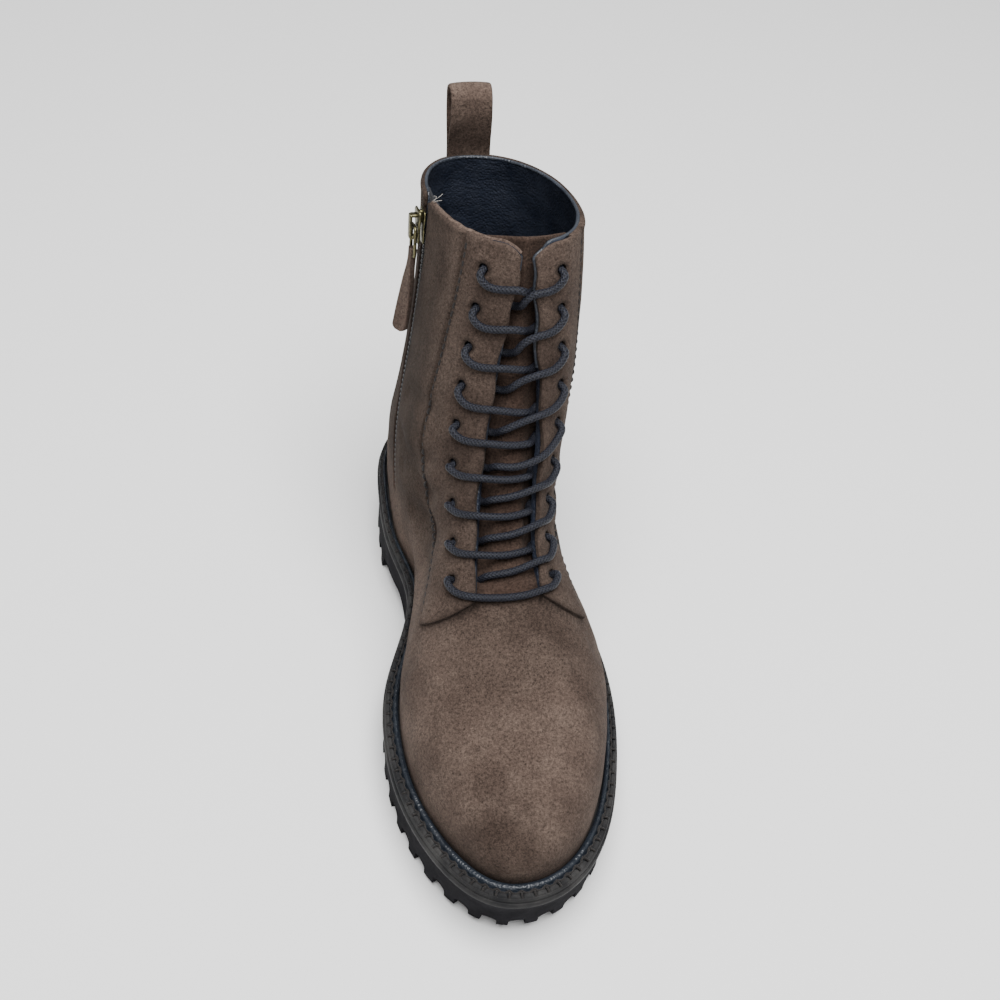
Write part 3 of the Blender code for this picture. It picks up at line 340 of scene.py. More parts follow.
def ridge_height(ahead):
    """Height of the ridge above the floor, from the toe to the collar and straight on up."""
    levels = np.linspace(0, 1, 201)
    front, rise, *_ = section_values(levels)
    places = TOE_END - (1 - front) * UPPER_LENGTH
    heights = sole_top(places) + rise * FRONT_HEIGHT
    slope = (heights[-1] - heights[-20]) / (places[-20] - places[-1])
    beyond = heights[-1] + slope * (places[-1] - np.asarray(ahead))
    order = np.argsort(places)
    inside = np.interp(ahead, places[order], heights[order])
    return np.where(np.asarray(ahead) < places[-1], beyond, inside)


def upper_ring(level, angle):
    """Outer surface of the upper as (side, ahead, up). angle is 0 at the heel and pi at the
    front ridge, + on the little-toe side."""
    front, rise_front, back, rise_back, medial, lateral, leg, shift = section_values(level)
    chord = (1 - np.cos(angle)) / 2
    front_ahead = TOE_END - (1 - front) * UPPER_LENGTH
    back_ahead = HEEL_END + back * UPPER_LENGTH
    ahead = back_ahead + (front_ahead - back_ahead) * chord
    front_up = sole_top(front_ahead) + rise_front * FRONT_HEIGHT
    back_up = sole_top(back_ahead) + rise_back * BACK_HEIGHT
    straight = sole_top(back_ahead) + (sole_top(front_ahead) - sole_top(back_ahead)) * chord
    settle = 1 - smooth_step(level, 0.0, SETTLE_LEVEL)
    up = back_up + (front_up - back_up) * chord + (sole_top(ahead) - straight) * settle
    is_lateral = np.sin(angle) >= 0
    station = ahead - (back_ahead - HEEL_END) * (1 - chord)
    base = np.where(is_lateral, feather_half_width(station, True), feather_half_width(station, False))
    tall = np.maximum(ridge_height(ahead) - sole_top(ahead), 1e-6)
    share = np.clip((up - sole_top(ahead)) / tall, 0, 1)
    above = np.clip((share - SIDE_STAND) / (1 - SIDE_STAND), 0, 1)
    instep = np.where(is_lateral, INSTEP_FULLNESS_LATERAL, INSTEP_FULLNESS_MEDIAL)
    vamp = smooth_step(ahead / SOLE_LENGTH, FULLNESS_START, FULLNESS_END)
    fullness = instep + (VAMP_FULLNESS - instep) * vamp
    foot = base * (1 - above**fullness) ** (1 / fullness)
    arch = np.clip(1 - ((ahead / SOLE_LENGTH - ARCH_CENTRE) / ARCH_REACH) ** 2, 0, 1) ** 2
    low = np.sin(math.pi * np.clip(2 * share, 0, 1)) ** 2
    foot = foot + np.where(is_lateral, 0.0, ARCH_BULGE) * arch * low
    foot = foot * np.where(chord > 1 - 1e-9, 0.0, 1.0)
    half = np.where(is_lateral, lateral, medial) * COLLAR_WIDTH
    oval = (1 - np.abs(2 * chord - 1) ** COLLAR_FULLNESS) ** (1 / COLLAR_FULLNESS)
    width = foot * (1 - leg) + half * oval * leg
    side = shift * RIDGE_SHIFT * chord + np.where(is_lateral, width, -width)
    return np.stack([side, ahead, up], axis=-1)


def derived_places():
    """Places that follow from the sizes: the ends of the upper and the middle of the sole."""
    full = np.linspace(0, math.pi, 361)
    widest = float(rim_half_width(full, True).max())
    narrow = float(rim_half_width(full, False).max())
    return SOLE_LENGTH - MARGIN_TOE, MARGIN_HEEL, (widest - narrow) / 2


TOE_END, HEEL_END, MID_SIDE = derived_places()

# Suede and lining
SKIN_THICKNESS = 0.0010
LINING_INSET = 0.0001
LINING_GAP = 0.0001
SKIRT = 0.0022
COLLAR_ROWS = (0.0004, 0.0010)
COLLAR_FOLD = 0.0006
NOTCH = 0.0175
ZIP_CORNER = 0.0035
SLOT_ROUNDING = 0.0012
EDGE_WAVE = 0.0006
EDGE_CURL = 0.0007
FOOT_BOW = 0.0010
TONGUE_PRESS = 0.0031
RIM_RADIUS = 0.0008
FOLD_RADIUS = 0.0011

# Seams
SEAM_RISE = 0.0009
SEAM_GROOVE = 0.0004
SEAM_SHOULDER = 0.0013
SEAM_STITCH = 0.0030
SEAM_PITCH = 0.0040
THREAD = 0.0010
WELT_PITCH = 0.0060
WELT_THREAD = 0.00056
WELT_TICK = 0.00052

# Laces: how far each strand falls on its way across, from the top row down, and how it lies
FALL_MEDIAL = (0.0108, 0.0085, 0.0082, 0.0092, 0.0055, 0.0028, 0.0014, 0.0014)
FALL_LATERAL = (0.0165, 0.0175, 0.0165, 0.0175, 0.0160, 0.0130, 0.0120, 0.0118)
BRAID_PITCH = 0.0016
CORD_SIDES = 14
LACE_HOOK = 0.0052
LACE_HOOK_FALL = 0.0085
LACE_OVER = FACING_SEAT + FACING_THICKNESS + LACE_DIAMETER / 2 + 0.0002
LACE_UNDER = -WALL - LACE_DIAMETER / 2 - 0.0004
BAR_SAG = 0.0046
LACE_LEVELLING = 0.0075
EYELET_REACH = 0.0230
LOOSE_STRAND = (4, 1)
LOOSE_DROP = 0.0025

# Sole, zip and stage
GAP_FLARE = 1.9
TOOTH_PITCH = 0.00125
TOOTH_RADIUS = 0.00048
TAPE_LINE = 0.0026
BRIDGE_WIDTH = 0.0040
BRIDGE_LENGTH = 0.0112
TAB_TWIST = -0.5
TAB_LEAN = 0.0006
TAB_LIFT = 0.0050
FLOOR_COLOUR = (0.90, 0.90, 0.90)

# Creases placed one by one
CREASES = (
    # from_back, (level, distance, bow in levels) of the start, (level, distance) of the end,
    # depth, width
    (False, (0.600, -0.048, 0.012), (0.560, -0.098), 0.0019, 0.0055),
    (False, (0.665, -0.043, -0.010), (0.615, -0.092), 0.0016, 0.0048),
    (False, (0.730, -0.040, 0.008), (0.700, -0.078), 0.0011, 0.0042),
    (False, (0.530, -0.056, 0.010), (0.470, -0.104), 0.0014, 0.0060),
    (False, (0.590, 0.050, 0.012), (0.550, 0.104), 0.0019, 0.0055),
    (False, (0.655, 0.044, -0.010), (0.610, 0.096), 0.0016, 0.0048),
    (False, (0.515, 0.058, 0.008), (0.455, 0.106), 0.0013, 0.0060),
    (False, (0.405, -0.034, 0.014), (0.385, 0.036), 0.0008, 0.0060),
    (False, (0.330, -0.038, 0.010), (0.318, 0.042), 0.0006, 0.0070),
    (False, (0.330, -0.078, 0.004), (0.250, -0.100), 0.0008, 0.0070),
    (False, (0.330, 0.080, 0.004), (0.250, 0.104), 0.0008, 0.0070),
    (True, (0.540, -0.030, 0.012), (0.535, 0.036), 0.0014, 0.0065),
    (True, (0.640, -0.024, -0.008), (0.630, 0.032), 0.0010, 0.0055),
)

# The camera: place in metres, turn in degrees, and the photo's own frame in pixels
CAMERA_PLACE = (-0.0742, -0.3653, 0.534)
CAMERA_TILT = 49.5
CAMERA_SWING = 0.0645
CAMERA_REACH = 1301.0
CAMERA_CENTRE = (485.0, 502.0)
BOOT_MIDDLE = (603.0, 476.0)


class Chart:
    """Ring angles by run, for levels from 0 to 1, so that places can be asked for by distance."""

    LEVELS = np.linspace(0, 1, 201)
    SHARES = np.linspace(0, 1, 961)

    def __init__(self):
        fine = np.linspace(-math.pi, math.pi, 1441)
        self.total = []
        self.angles = []
        self.middle = []
        for level in self.LEVELS:
            ring = upper_ring(level, fine)
            run = distances(ring)
            self.total.append(run[-1])
            self.middle.append(run[len(run) // 2])
            self.angles.append(np.interp(self.SHARES * run[-1], run, fine))
        self.total = np.array(self.total)
        self.middle = np.array(self.middle)
        self.angles = np.array(self.angles)

    def length(self, level):
        return np.interp(level, self.LEVELS, self.total)

    def angle(self, level, run):
        level = np.clip(level, 0, 1)
        share = np.mod(run / self.length(level), 1.0)
        row = level * (len(self.LEVELS) - 1)
        column = share * (len(self.SHARES) - 1)
        r = np.clip(row.astype(int), 0, len(self.LEVELS) - 2)
        c = np.clip(column.astype(int), 0, len(self.SHARES) - 2)
        fr, fc = row - r, column - c
        low = self.angles[r, c] * (1 - fc) + self.angles[r, c + 1] * fc
        high = self.angles[r + 1, c] * (1 - fc) + self.angles[r + 1, c + 1] * fc
        return low * (1 - fr) + high * fr


def bare(level, run):
    """Points of the upper's outer face as (side, ahead, up), also just above the collar."""
    level, run = np.broadcast_arrays(np.asarray(level, float), np.asarray(run, float))
    angle = CHART.angle(level, run)
    points = upper_ring(np.clip(level, 0, 1), angle)
    over = np.maximum(level - 1.0, 0.0)
    if over.any():
        top = upper_ring(np.ones_like(level), angle) - upper_ring(np.full_like(level, 1 - LEVEL_STEP), angle)
        points = points + top * (over / LEVEL_STEP)[..., None]
    return points


def to_world(points):
    """(side, ahead, up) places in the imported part's frame."""
    side, ahead, up = np.moveaxis(np.asarray(points, float), -1, 0)
    return np.stack([side - MID_SIDE + SHIFT[0], SOLE_LENGTH / 2 - ahead + SHIFT[1], up + SHIFT[2]], axis=-1)


def along_foot(y):
    """Distance ahead of the heel's end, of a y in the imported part's frame."""
    return SOLE_LENGTH / 2 - (y - SHIFT[1])


def ridge(level, distance):
    """run of a place beside the front ridge."""
    return np.where(np.asarray(distance) > 0, CHART.length(level), 0.0) - distance


def back(level, distance):
    """run of a place beside the middle of the back."""
    return np.interp(level, CHART.LEVELS, CHART.middle) + distance


def outward(level, run):
    """Unit normals of the upper's outer face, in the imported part's frame."""
    level, run = np.broadcast_arrays(np.asarray(level, float), np.asarray(run, float))
    step = 0.0008
    lower = np.clip(level - step * 4, 0, None)
    up = to_world(bare(level + step * 4, run * CHART.length(level + step * 4) / CHART.length(level)))
    up = up - to_world(bare(lower, run * CHART.length(lower) / CHART.length(level)))
    around = to_world(bare(level, run + step)) - to_world(bare(level, run - step))
    normal = np.cross(up, around)
    return normal / np.linalg.norm(normal, axis=-1, keepdims=True)


def skin(level, run, lift=0.0):
    """Points over the upper's outer face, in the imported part's frame."""
    lift = np.asarray(lift, float)
    return to_world(bare(level, run)) + lift[..., None] * outward(level, run)


def rate(from_back=False):
    """Length of surface that one whole level covers at the collar, at the ridge or the back."""
    where = back if from_back else ridge
    ends = [bare(level, where(level, 0.0)) for level in (1.0 - LEVEL_STEP, 1.0)]
    return float(np.linalg.norm(ends[1] - ends[0])) / LEVEL_STEP


def throat_share(level):
    """0 at the foot of the throat and below it, 1 at the collar."""
    return np.clip((np.asarray(level) - THROAT_LEVEL) / (1 - THROAT_LEVEL), 0, 1)


def throat_half_gap(level):
    """Half the gap between the facings, widest at the foot of the throat."""
    low, top = THROAT_GAP_LOW / 2, THROAT_GAP_TOP / 2
    return top + (low - top) * smooth_step(1 - throat_share(level), GAP_EASE_START, GAP_EASE_END)


def facing_line(level, sign, share):
    """Distance from the ridge across a facing: share is 0 at the throat edge, 1 at the seam."""
    spread = (1 - throat_share(level)) ** FACING_TAPER
    width = FACING_WIDTH_TOP + (FACING_WIDTH_LOW - FACING_WIDTH_TOP) * spread
    return sign * (throat_half_gap(level) + width * share)


def seam_distance(level):
    """Distance of a facing's outer seam from the ridge."""
    return facing_line(level, 1, 1.0)


def facing_foot(share):
    """Level of a facing's lower edge, which sweeps down and back from the throat."""
    return THROAT_LEVEL - FACING_SWEEP / RATE_FRONT * (FACING_LIP + (1 - FACING_LIP) * np.asarray(share))


def collar_level(from_edge):
    """The collar's level, dropping in a round corner towards each edge of the throat."""
    share = np.clip(1 - np.asarray(from_edge) / CORNER_RADIUS, 0, 1)
    return 1 - CORNER_DROP / RATE_FRONT * share**2


def eyelet_distance(level, sign):
    """Distance of the eyelet line from the ridge; sign is 1 on the little-toe side."""
    inset = EYELET_INSET_LATERAL if sign > 0 else EYELET_INSET_MEDIAL
    return sign * (throat_half_gap(level) + inset)


def eyelet_levels():
    """Levels of the eyelet rows, LACE_PITCH apart down the eyelet line from the collar."""
    levels = np.linspace(1.0, THROAT_LEVEL - LEVEL_STEP, 121)
    line = bare(levels, ridge(levels, eyelet_distance(levels, 1)))
    run = distances(line)
    return np.interp(FIRST_EYELET + LACE_PITCH * np.arange(LACE_ROWS), run, levels)


def zip_run(level, distance=0.0):
    """run of a place beside the zip's line, on the big-toe side."""
    share = ZIP_SHARE_LOW + (ZIP_SHARE_TOP - ZIP_SHARE_LOW) * np.asarray(level, float)
    line = -np.arccos(1 - 2 * share)
    row = np.clip(level, 0, 1) * (len(CHART.LEVELS) - 1)
    r = np.clip(np.asarray(row).astype(int), 0, len(CHART.LEVELS) - 2)
    f = row - r
    shares = []
    for near in (r, r + 1):
        pairs = zip(np.atleast_1d(line), np.atleast_1d(near))
        shares.append(np.array([np.interp(a, CHART.angles[n], CHART.SHARES) for a, n in pairs]))
    share = shares[0] * (1 - f) + shares[1] * f
    return share.reshape(np.shape(line)) * CHART.length(level) + distance


# Meshes


def new_object(name, points, faces, finish, finishes=None, smooth=50, shade=None):
    """A mesh object from points and faces. finishes gives each face its material slot."""
    mesh = bpy.data.meshes.new(name)
    mesh.from_pydata([tuple(p) for p in points], [], [tuple(int(i) for i in f) for f in faces])
    mesh.validate()
    for made in finish if isinstance(finish, (list, tuple)) else [finish]:
        mesh.materials.append(made)
    if finishes is not None:
        mesh.polygons.foreach_set("material_index", np.asarray(finishes, np.int32))
    mesh.shade_smooth()
    mesh.set_sharp_from_angle(angle=math.radians(smooth))
    if shade is not None:
        layer = mesh.attributes.new("shade", "FLOAT", "POINT")
        layer.data.foreach_set("value", np.asarray(shade, np.float32).ravel())
    made = bpy.data.objects.new(name, mesh)
    bpy.context.scene.collection.objects.link(made)
    return made


def slab(name, outer, inner, finish, keep=None, wrap=False, shade=None):
    """A closed sheet between two grids of points. keep says which cells are there. wrap joins
    the last column to the first."""
    rows, columns = outer.shape[:2]
    across = columns if wrap else columns - 1
    if keep is None:
        keep = np.ones((rows - 1, across), bool)
    index = np.arange(rows * columns).reshape(rows, columns)
    following = np.roll(index, -1, axis=1)[:, :across]
    here = index[:, :across]
    quad = np.stack([here[:-1], following[:-1], following[1:], here[1:]], axis=-1)
    shift = rows * columns
    top = quad[keep]
    padded = np.zeros((rows + 1, across + 2), bool)
    padded[1:-1, 1:-1] = keep
    if wrap:
        padded[1:-1, 0], padded[1:-1, -1] = keep[:, -1], keep[:, 0]
    core = padded[1:-1, 1:-1]
    walls = []
    for there, (a, b) in (
        (padded[:-2, 1:-1], (0, 1)),
        (padded[2:, 1:-1], (2, 3)),
        (padded[1:-1, :-2], (3, 0)),
        (padded[1:-1, 2:], (1, 2)),
    ):
        edge = quad[core & ~there]
        walls.append(np.stack([edge[:, b], edge[:, a], edge[:, a] + shift, edge[:, b] + shift], axis=-1))
    faces = np.concatenate([top, top[:, ::-1] + shift, *walls])
    points = np.concatenate([outer.reshape(-1, 3), inner.reshape(-1, 3)])
    used = np.unique(faces)
    order = np.zeros(len(points), int)
    order[used] = np.arange(len(used))
    if shade is not None:
        shade = np.concatenate([shade.ravel(), shade.ravel()])[used]
    first = points[top[0]]
    if np.dot(np.cross(first[1] - first[0], first[2] - first[1]), first[0] - points[top[0][0] + shift]) < 0:
        faces = faces[:, ::-1]
    return new_object(name, points[used], order[faces], finish, shade=shade)


def ring_faces(rows, count):
    """Faces between rings of equal count, numbered one ring after the other."""
    index = np.arange(rows * count).reshape(rows, count)
    turned = np.roll(index, -1, axis=1)
    faces = np.stack([index[:-1], turned[:-1], turned[1:], index[1:]], axis=-1)
    return [tuple(face) for face in faces.reshape(-1, 4)]


def stacked(rings):
    """(points, faces) of rings of equal count, closed by one flat face at each end."""
    rows, count = np.shape(rings)[:2]
    faces = ring_faces(rows, count)
    faces.append(tuple(range(count - 1, -1, -1)))
    faces.append(tuple(range((rows - 1) * count, rows * count)))
    return np.reshape(rings, (-1, 3)), faces


def bent_tube(rings):
    """(points, faces) of rings of equal count, the last joined to the first."""
    rows, count = np.shape(rings)[:2]
    index = np.arange(rows * count).reshape(rows, count)
    up = np.roll(index, -1, axis=0)
    faces = np.stack([index, up, np.roll(up, -1, axis=1), np.roll(index, -1, axis=1)], axis=-1)
    return np.reshape(rings, (-1, 3)), faces.reshape(-1, 4)


def tube(points, radius, sides=12, taper=None):
    """(points, faces) of a round rod along points, closed at both ends."""
    points = np.asarray(points, float)
    tangent = np.gradient(points, axis=0)
    tangent /= np.linalg.norm(tangent, axis=1, keepdims=True)
    across = np.zeros_like(points)
    guess = np.cross(tangent[0], (0.3, 0.5, 0.8))
    for i, t in enumerate(tangent):
        guess = guess - t * guess.dot(t)
        guess /= np.linalg.norm(guess)
        across[i] = guess
    other = np.cross(tangent, across)
    turn = 2 * math.pi * np.arange(sides) / sides
    size = radius if taper is None else radius * taper[:, None, None]
    ring = across[:, None] * np.cos(turn)[None, :, None] + other[:, None] * np.sin(turn)[None, :, None]
    grid = points[:, None] + ring * size
    count = len(points)
    faces = ring_faces(count, sides)
    flat = grid.reshape(-1, 3)
    ends = np.array([points[0], points[-1]])
    first, last = len(flat), len(flat) + 1
    for k in range(sides):
        m = (k + 1) % sides
        faces.append((first, m, k))
        faces.append((last, (count - 1) * sides + k, (count - 1) * sides + m))
    return np.concatenate([flat, ends]), faces


def merged(parts):
    """One (points, faces) from several."""
    points, faces = [], []
    for some, cells in parts:
        start = sum(len(p) for p in points)
        points.append(np.asarray(some))
        faces += [tuple(i + start for i in f) for f in cells]
    return np.concatenate(points), faces


def smooth_line(points, spacing):
    """A dense even line on a smooth curve through points."""
    points = np.asarray(points, float)
    at = np.concatenate([[0], np.cumsum(np.linalg.norm(np.diff(points, axis=0), axis=1) ** 0.5)])
    fine = np.linspace(0, at[-1], len(points) * 24)
    curve = np.stack([spline(at, points[:, k], fine) for k in range(3)], axis=-1)
    run = distances(curve)
    return sample(np.linspace(0, run[-1], max(int(run[-1] / spacing), 4)), run, curve)


def roughly(points, size, seed):
    """Smooth noise from -1 to 1 at each point, with features of about size."""
    flat = np.asarray(points).reshape(-1, 3) / size
    values = [noise.noise(Vector((p[0] + seed, p[1], p[2]))) for p in flat]
    return np.array(values).reshape(np.asarray(points).shape[:-1])


# Materials


def new_material(name, roughness, metallic=0.0, sheen=0.0, sheen_tint=(1, 1, 1), specular=0.5):
    """A material with one Principled shader."""
    made = bpy.data.materials.new(name)
    made.use_nodes = True
    surface = made.node_tree.nodes["Principled BSDF"].inputs
    surface["Roughness"].default_value = roughness
    surface["Metallic"].default_value = metallic
    surface["Sheen Weight"].default_value = sheen
    surface["Sheen Roughness"].default_value = 0.5
    surface["Sheen Tint"].default_value = (*sheen_tint, 1.0)
    surface["Specular IOR Level"].default_value = specular
    return made


class Nodes:
    """Short calls for the node tree of one material."""

    def __init__(self, made):
        self.tree = made.node_tree
        self.surface = self.tree.nodes["Principled BSDF"]
        self.place = self.tree.nodes.new("ShaderNodeTexCoord").outputs["Object"]

    def link(self, value, socket):
        if isinstance(value, bpy.types.NodeSocket):
            self.tree.links.new(value, socket)
        else:
            socket.default_value = value

    def made(self, kind, **values):
        """A new node with values in its inputs. An underscore in a name stands for a space."""
        made = self.tree.nodes.new("ShaderNode" + kind)
        for name, value in values.items():
            self.link(value, made.inputs[name.replace("_", " ")])
        return made

    def stretched(self, scale):
        return self.made("Mapping", Scale=scale, Vector=self.place).outputs["Vector"]

    def noise(self, size, detail=2.0, rough=0.5, place=None, distort=0.0):
        """Noise from 0 to 1 with features of about size metres."""
        values = {"Detail": detail, "Roughness": rough, "Distortion": distort, "Vector": place or self.place}
        return self.made("TexNoise", Scale=1 / size, **values).outputs["Fac"]

    def cells(self, size):
        return self.made("TexVoronoi", Scale=1 / size, Vector=self.place).outputs["Distance"]

    def math(self, operation, a, b=0.0, clamp=False):
        made = self.made("Math")
        made.operation = operation
        made.use_clamp = clamp
        self.link(a, made.inputs[0])
        self.link(b, made.inputs[1])
        return made.outputs[0]

    def spread(self, value, low, high, to_low=0.0, to_high=1.0):
        ends = {"From_Min": low, "From_Max": high, "To_Min": to_low, "To_Max": to_high}
        return self.made("MapRange", Value=value, **ends).outputs["Result"]

    def mix(self, share, a, b, kind="MIX"):
        made = self.made("Mix")
        made.data_type = "RGBA"
        made.blend_type = kind
        self.link(share, made.inputs["Factor"])
        for value, socket in ((a, made.inputs["A"]), (b, made.inputs["B"])):
            self.link((*value, 1.0) if isinstance(value, tuple) else value, socket)
        return made.outputs["Result"]

    def shade(self):
        # The shade attribute holds painted shade.
        made = self.made("Attribute")
        made.attribute_type = "GEOMETRY"
        made.attribute_name = "shade"
        return made.outputs["Fac"]

    def along(self):
        """(along, around) of a cord, in metres and in turns."""
        made = self.made("UVMap")
        made.uv_map = "cord"
        split = self.made("SeparateXYZ", Vector=made.outputs["UV"])
        return split.outputs["X"], split.outputs["Y"]

    def bump(self, *layers):
        """Bumps one over the other. Each layer is (height from 0 to 1, depth in metres)."""
        normal = None
        for height, depth in layers:
            made = self.made("Bump", Distance=depth, Height=height)
            if normal:
                self.tree.links.new(normal, made.inputs["Normal"])
            normal = made.outputs["Normal"]
        self.tree.links.new(normal, self.surface.inputs["Normal"])

    def colour(self, value):
        self.tree.links.new(value, self.surface.inputs["Base Color"])

    def roughness(self, value):
        self.tree.links.new(value, self.surface.inputs["Roughness"])


def suede_material(name, dark, middle, light):
    """Napped leather: soft patches where the nap lies another way, and a fine grain, darkened by the painted
    shade that each piece carries in its shade attribute.
    """
    made = new_material(name, 0.95, sheen=0.05, sheen_tint=(0.80, 0.70, 0.62), specular=0.06)
    n = Nodes(made)
    clouds = n.noise(0.042, 2.0, 0.5, distort=0.4)
    patches = n.noise(0.0130, 3.0, 0.6, place=n.stretched((1.0, 1.0, 0.7)))
    grain = n.noise(0.00125, 4.0, 0.80)
    hairs = n.noise(0.00060, 2.0, 0.7)
    cover = n.mix(n.spread(clouds, 0.34, 0.66), dark, middle)
    cover = n.mix(n.math("MULTIPLY", n.spread(patches, 0.46, 0.74), 0.42), cover, light)
    cover = n.mix(n.math("MULTIPLY", n.spread(patches, 0.44, 0.26), 0.50), cover, dark)
    speck = n.math("ADD", n.spread(grain, 0.34, 0.66, 0.50, 1.46), n.spread(hairs, 0.32, 0.68, -0.30, 0.30))
    # The shade attribute is painted shade: it darkens the colour.
    speck = n.math("MULTIPLY", speck, n.shade())
    grey = n.made("CombineColor", Red=speck, Green=speck, Blue=speck)
    n.colour(n.mix(1.0, cover, grey.outputs["Color"], "MULTIPLY"))
    n.bump((patches, 0.0008), (grain, 0.00050), (hairs, 0.00022))
    return made


def leather_material(name, dark, light, roughness):
    """Smooth leather with a pebbled grain."""
    made = new_material(name, roughness)
    n = Nodes(made)
    pebbles = n.cells(0.0011)
    soft = n.noise(0.012, 3.0)
    n.colour(n.mix(n.spread(soft, 0.3, 0.7), dark, light))
    n.roughness(n.spread(n.noise(0.004, 2.0), 0.3, 0.7, roughness - 0.08, roughness + 0.10))
    n.bump((soft, 0.0008), (n.spread(pebbles, 0.0, 0.7), 0.00025))
    return made


def rubber_material(name, dark, light, roughness):
    """Moulded rubber: matt, faintly uneven, with scuffs and dust."""
    made = new_material(name, roughness, specular=0.02)
    n = Nodes(made)
    cloud = n.noise(0.018, 4.0, 0.6)
    scuff = n.noise(0.0016, 3.0, 0.7, place=n.stretched((1, 1, 3)))
    worn = n.math("MULTIPLY", n.spread(cloud, 0.40, 0.68), 0.6)
    worn = n.math("ADD", worn, n.spread(scuff, 0.55, 0.75, 0.0, 0.45), clamp=True)
    n.colour(n.mix(worn, dark, light))
    n.roughness(n.spread(scuff, 0.3, 0.7, roughness - 0.1, roughness + 0.14))
    n.bump((cloud, 0.0004), (n.noise(0.0006, 2.0), 0.00006))
    return made


def cord_material(name, dark, light):
    """Waxed braided cord: strands crossing in two directions round it, with a soft shine."""
    made = new_material(name, 0.50, specular=0.22)
    n = Nodes(made)
    along, around = n.along()
    turn = n.math("MULTIPLY", around, 12 * math.pi)
    step = n.math("MULTIPLY", along, 2 * math.pi / BRAID_PITCH)
    one = n.math("SINE", n.math("ADD", step, turn))
    other = n.math("SINE", n.math("SUBTRACT", step, turn))
    braid = n.math("MAXIMUM", one, other)
    fleck = n.noise(0.0007, 2.0, 0.6)
    # The grooves between the strands are painted darker: painted shade.
    tone = n.math("MULTIPLY", n.spread(braid, -0.2, 1.0), n.spread(fleck, 0.3, 0.65, 0.25, 1.0))
    n.colour(n.mix(tone, dark, light))
    n.roughness(n.spread(fleck, 0.3, 0.7, 0.38, 0.62))
    n.bump((n.spread(braid, -0.4, 1.0), 0.00022), (fleck, 0.00008))
    return made


def metal_material(name, colour, dark, roughness):
    """Aged metal with darker tarnish."""
    made = new_material(name, roughness, metallic=1.0)
    n = Nodes(made)
    stain = n.noise(0.0016, 4.0, 0.65)
    n.colour(n.mix(n.spread(stain, 0.35, 0.65), dark, colour))
    n.roughness(n.spread(n.noise(0.0007, 3.0), 0.3, 0.7, roughness - 0.08, roughness + 0.16))
    n.bump((stain, 0.00008))
    return made


def woven_material(name, dark, light):
    """A fine fibrous grain, for the zip tape and the threads."""
    made = new_material(name, 0.75, specular=0.3, sheen=0.1)
    n = Nodes(made)
    weave = n.noise(0.0004, 1.0, place=n.stretched((1, 1, 3)))
    n.colour(n.mix(n.spread(weave, 0.35, 0.65), dark, light))
    n.bump((weave, 0.0002))
    return made


def floor_material():
    """Pale matt paper."""
    made = new_material("floor_paper", 0.9, specular=0.1)
    n = Nodes(made)
    n.colour(n.mix(n.noise(0.4, 2.0), FLOOR_COLOUR, tuple(0.985 * c for c in FLOOR_COLOUR)))
    return made


# Upper


def anchored(anchors, counts):
    """Columns that hit every anchor at each level. anchors is one array of runs per anchor."""
    columns = []
    for low, high, count in zip(anchors, anchors[1:], counts):
        for k in range(count):
            columns.append(low + (high - low) * k / count)
    columns.append(anchors[-1])
    return np.stack(columns, axis=-1)


def round_grid(levels, anchors, counts, bridge):
    """(levels, runs, first column of the throat) round the upper. bridge columns cross the
    ridge, from the last anchor on to the first."""
    rest = anchored(anchors, counts)
    across = np.linspace(0, 1, bridge)[None, 1:-1]
    runs = np.concatenate([rest, anchors[-1][:, None] + 2 * anchors[0][:, None] * across], axis=1)
    grid = np.broadcast_to(levels[:, None], runs.shape).copy()
    return grid, runs, rest.shape[1] - 1


def seam_run(level, sign, beyond):
    """run of a place beside a facing's outer seam; beyond is + away from the throat."""
    return np.mod(ridge(level, facing_line(level, sign, 1.0) + sign * beyond), CHART.length(level))


def beside_ridge(level, run):
    """Signed distance from the ridge, + on the little-toe side."""
    length = CHART.length(level)
    return np.where(run < length / 2, -run, length - run)


def seam_swell(level, run):
    """The quarters rise to meet the thicker facings, with a groove at the seam."""
    beyond = np.abs(beside_ridge(level, run)) - seam_distance(level)
    foot = float(facing_foot(1.0))
    above = smooth_step(level, foot - 0.004, foot + 0.020)
    rise = smooth_step(beyond, -0.0003, 0.0012) * (1 - smooth_step(beyond, 0.0012, 0.026))
    return SEAM_RISE * rise * above


def crease_lift(points):
    """Soft troughs with a ridge on each side, along the listed creases."""
    lift = np.zeros(points.shape[:-1])
    for from_back, start, end, depth, width in CREASES:
        share = np.linspace(0, 1, 15)
        level = start[0] + (end[0] - start[0]) * share
        distance = start[1] + (end[1] - start[1]) * share
        run = (back if from_back else ridge)(level, distance)
        line = skin(level + start[2] * np.sin(math.pi * share), run)
        far = np.inf
        for a, b in zip(line, line[1:]):
            share = np.clip(((points - a) @ (b - a)) / ((b - a) @ (b - a)), 0, 1)
            far = np.minimum(far, np.linalg.norm(points - (a + share[..., None] * (b - a)), axis=-1))
        middle = np.linalg.norm(points - line[len(line) // 2], axis=-1)
        ends = 1 - smooth_step(middle / (np.linalg.norm(line[-1] - line[0]) / 2 + width), 0.55, 1.1)
        lift += depth * ends * (0.42 * bell(far / width, 1.9, 1.0) - bell(far / width, 0.0, 1.0))
    return lift


def uneven_lift(points, level, run):
    """How far the leather stands off the plain form, without its creases."""
    lift = 0.00045 * roughly(points, 0.028, 3.0) + 0.00018 * roughly(points, 0.010, 9.0)
    return lift + seam_swell(level, run)


def soft_lift(points, level, run):
    return uneven_lift(points, level, run) + crease_lift(points)


def skin_levels():
    """Levels of the upper's rows, close together at the throat's foot and at the collar."""
    low = np.linspace(0, THROAT_LEVEL, 78)
    edge = THROAT_LEVEL - np.array([0.0016, 0.0006]) / RATE_FRONT
    high = np.linspace(THROAT_LEVEL, 1, 70)
    top = 1 - np.array(COLLAR_ROWS[::-1]) / RATE_FRONT
    return np.concatenate([[0.0], low[:-1], edge, high[:-1], top, [1.0]])


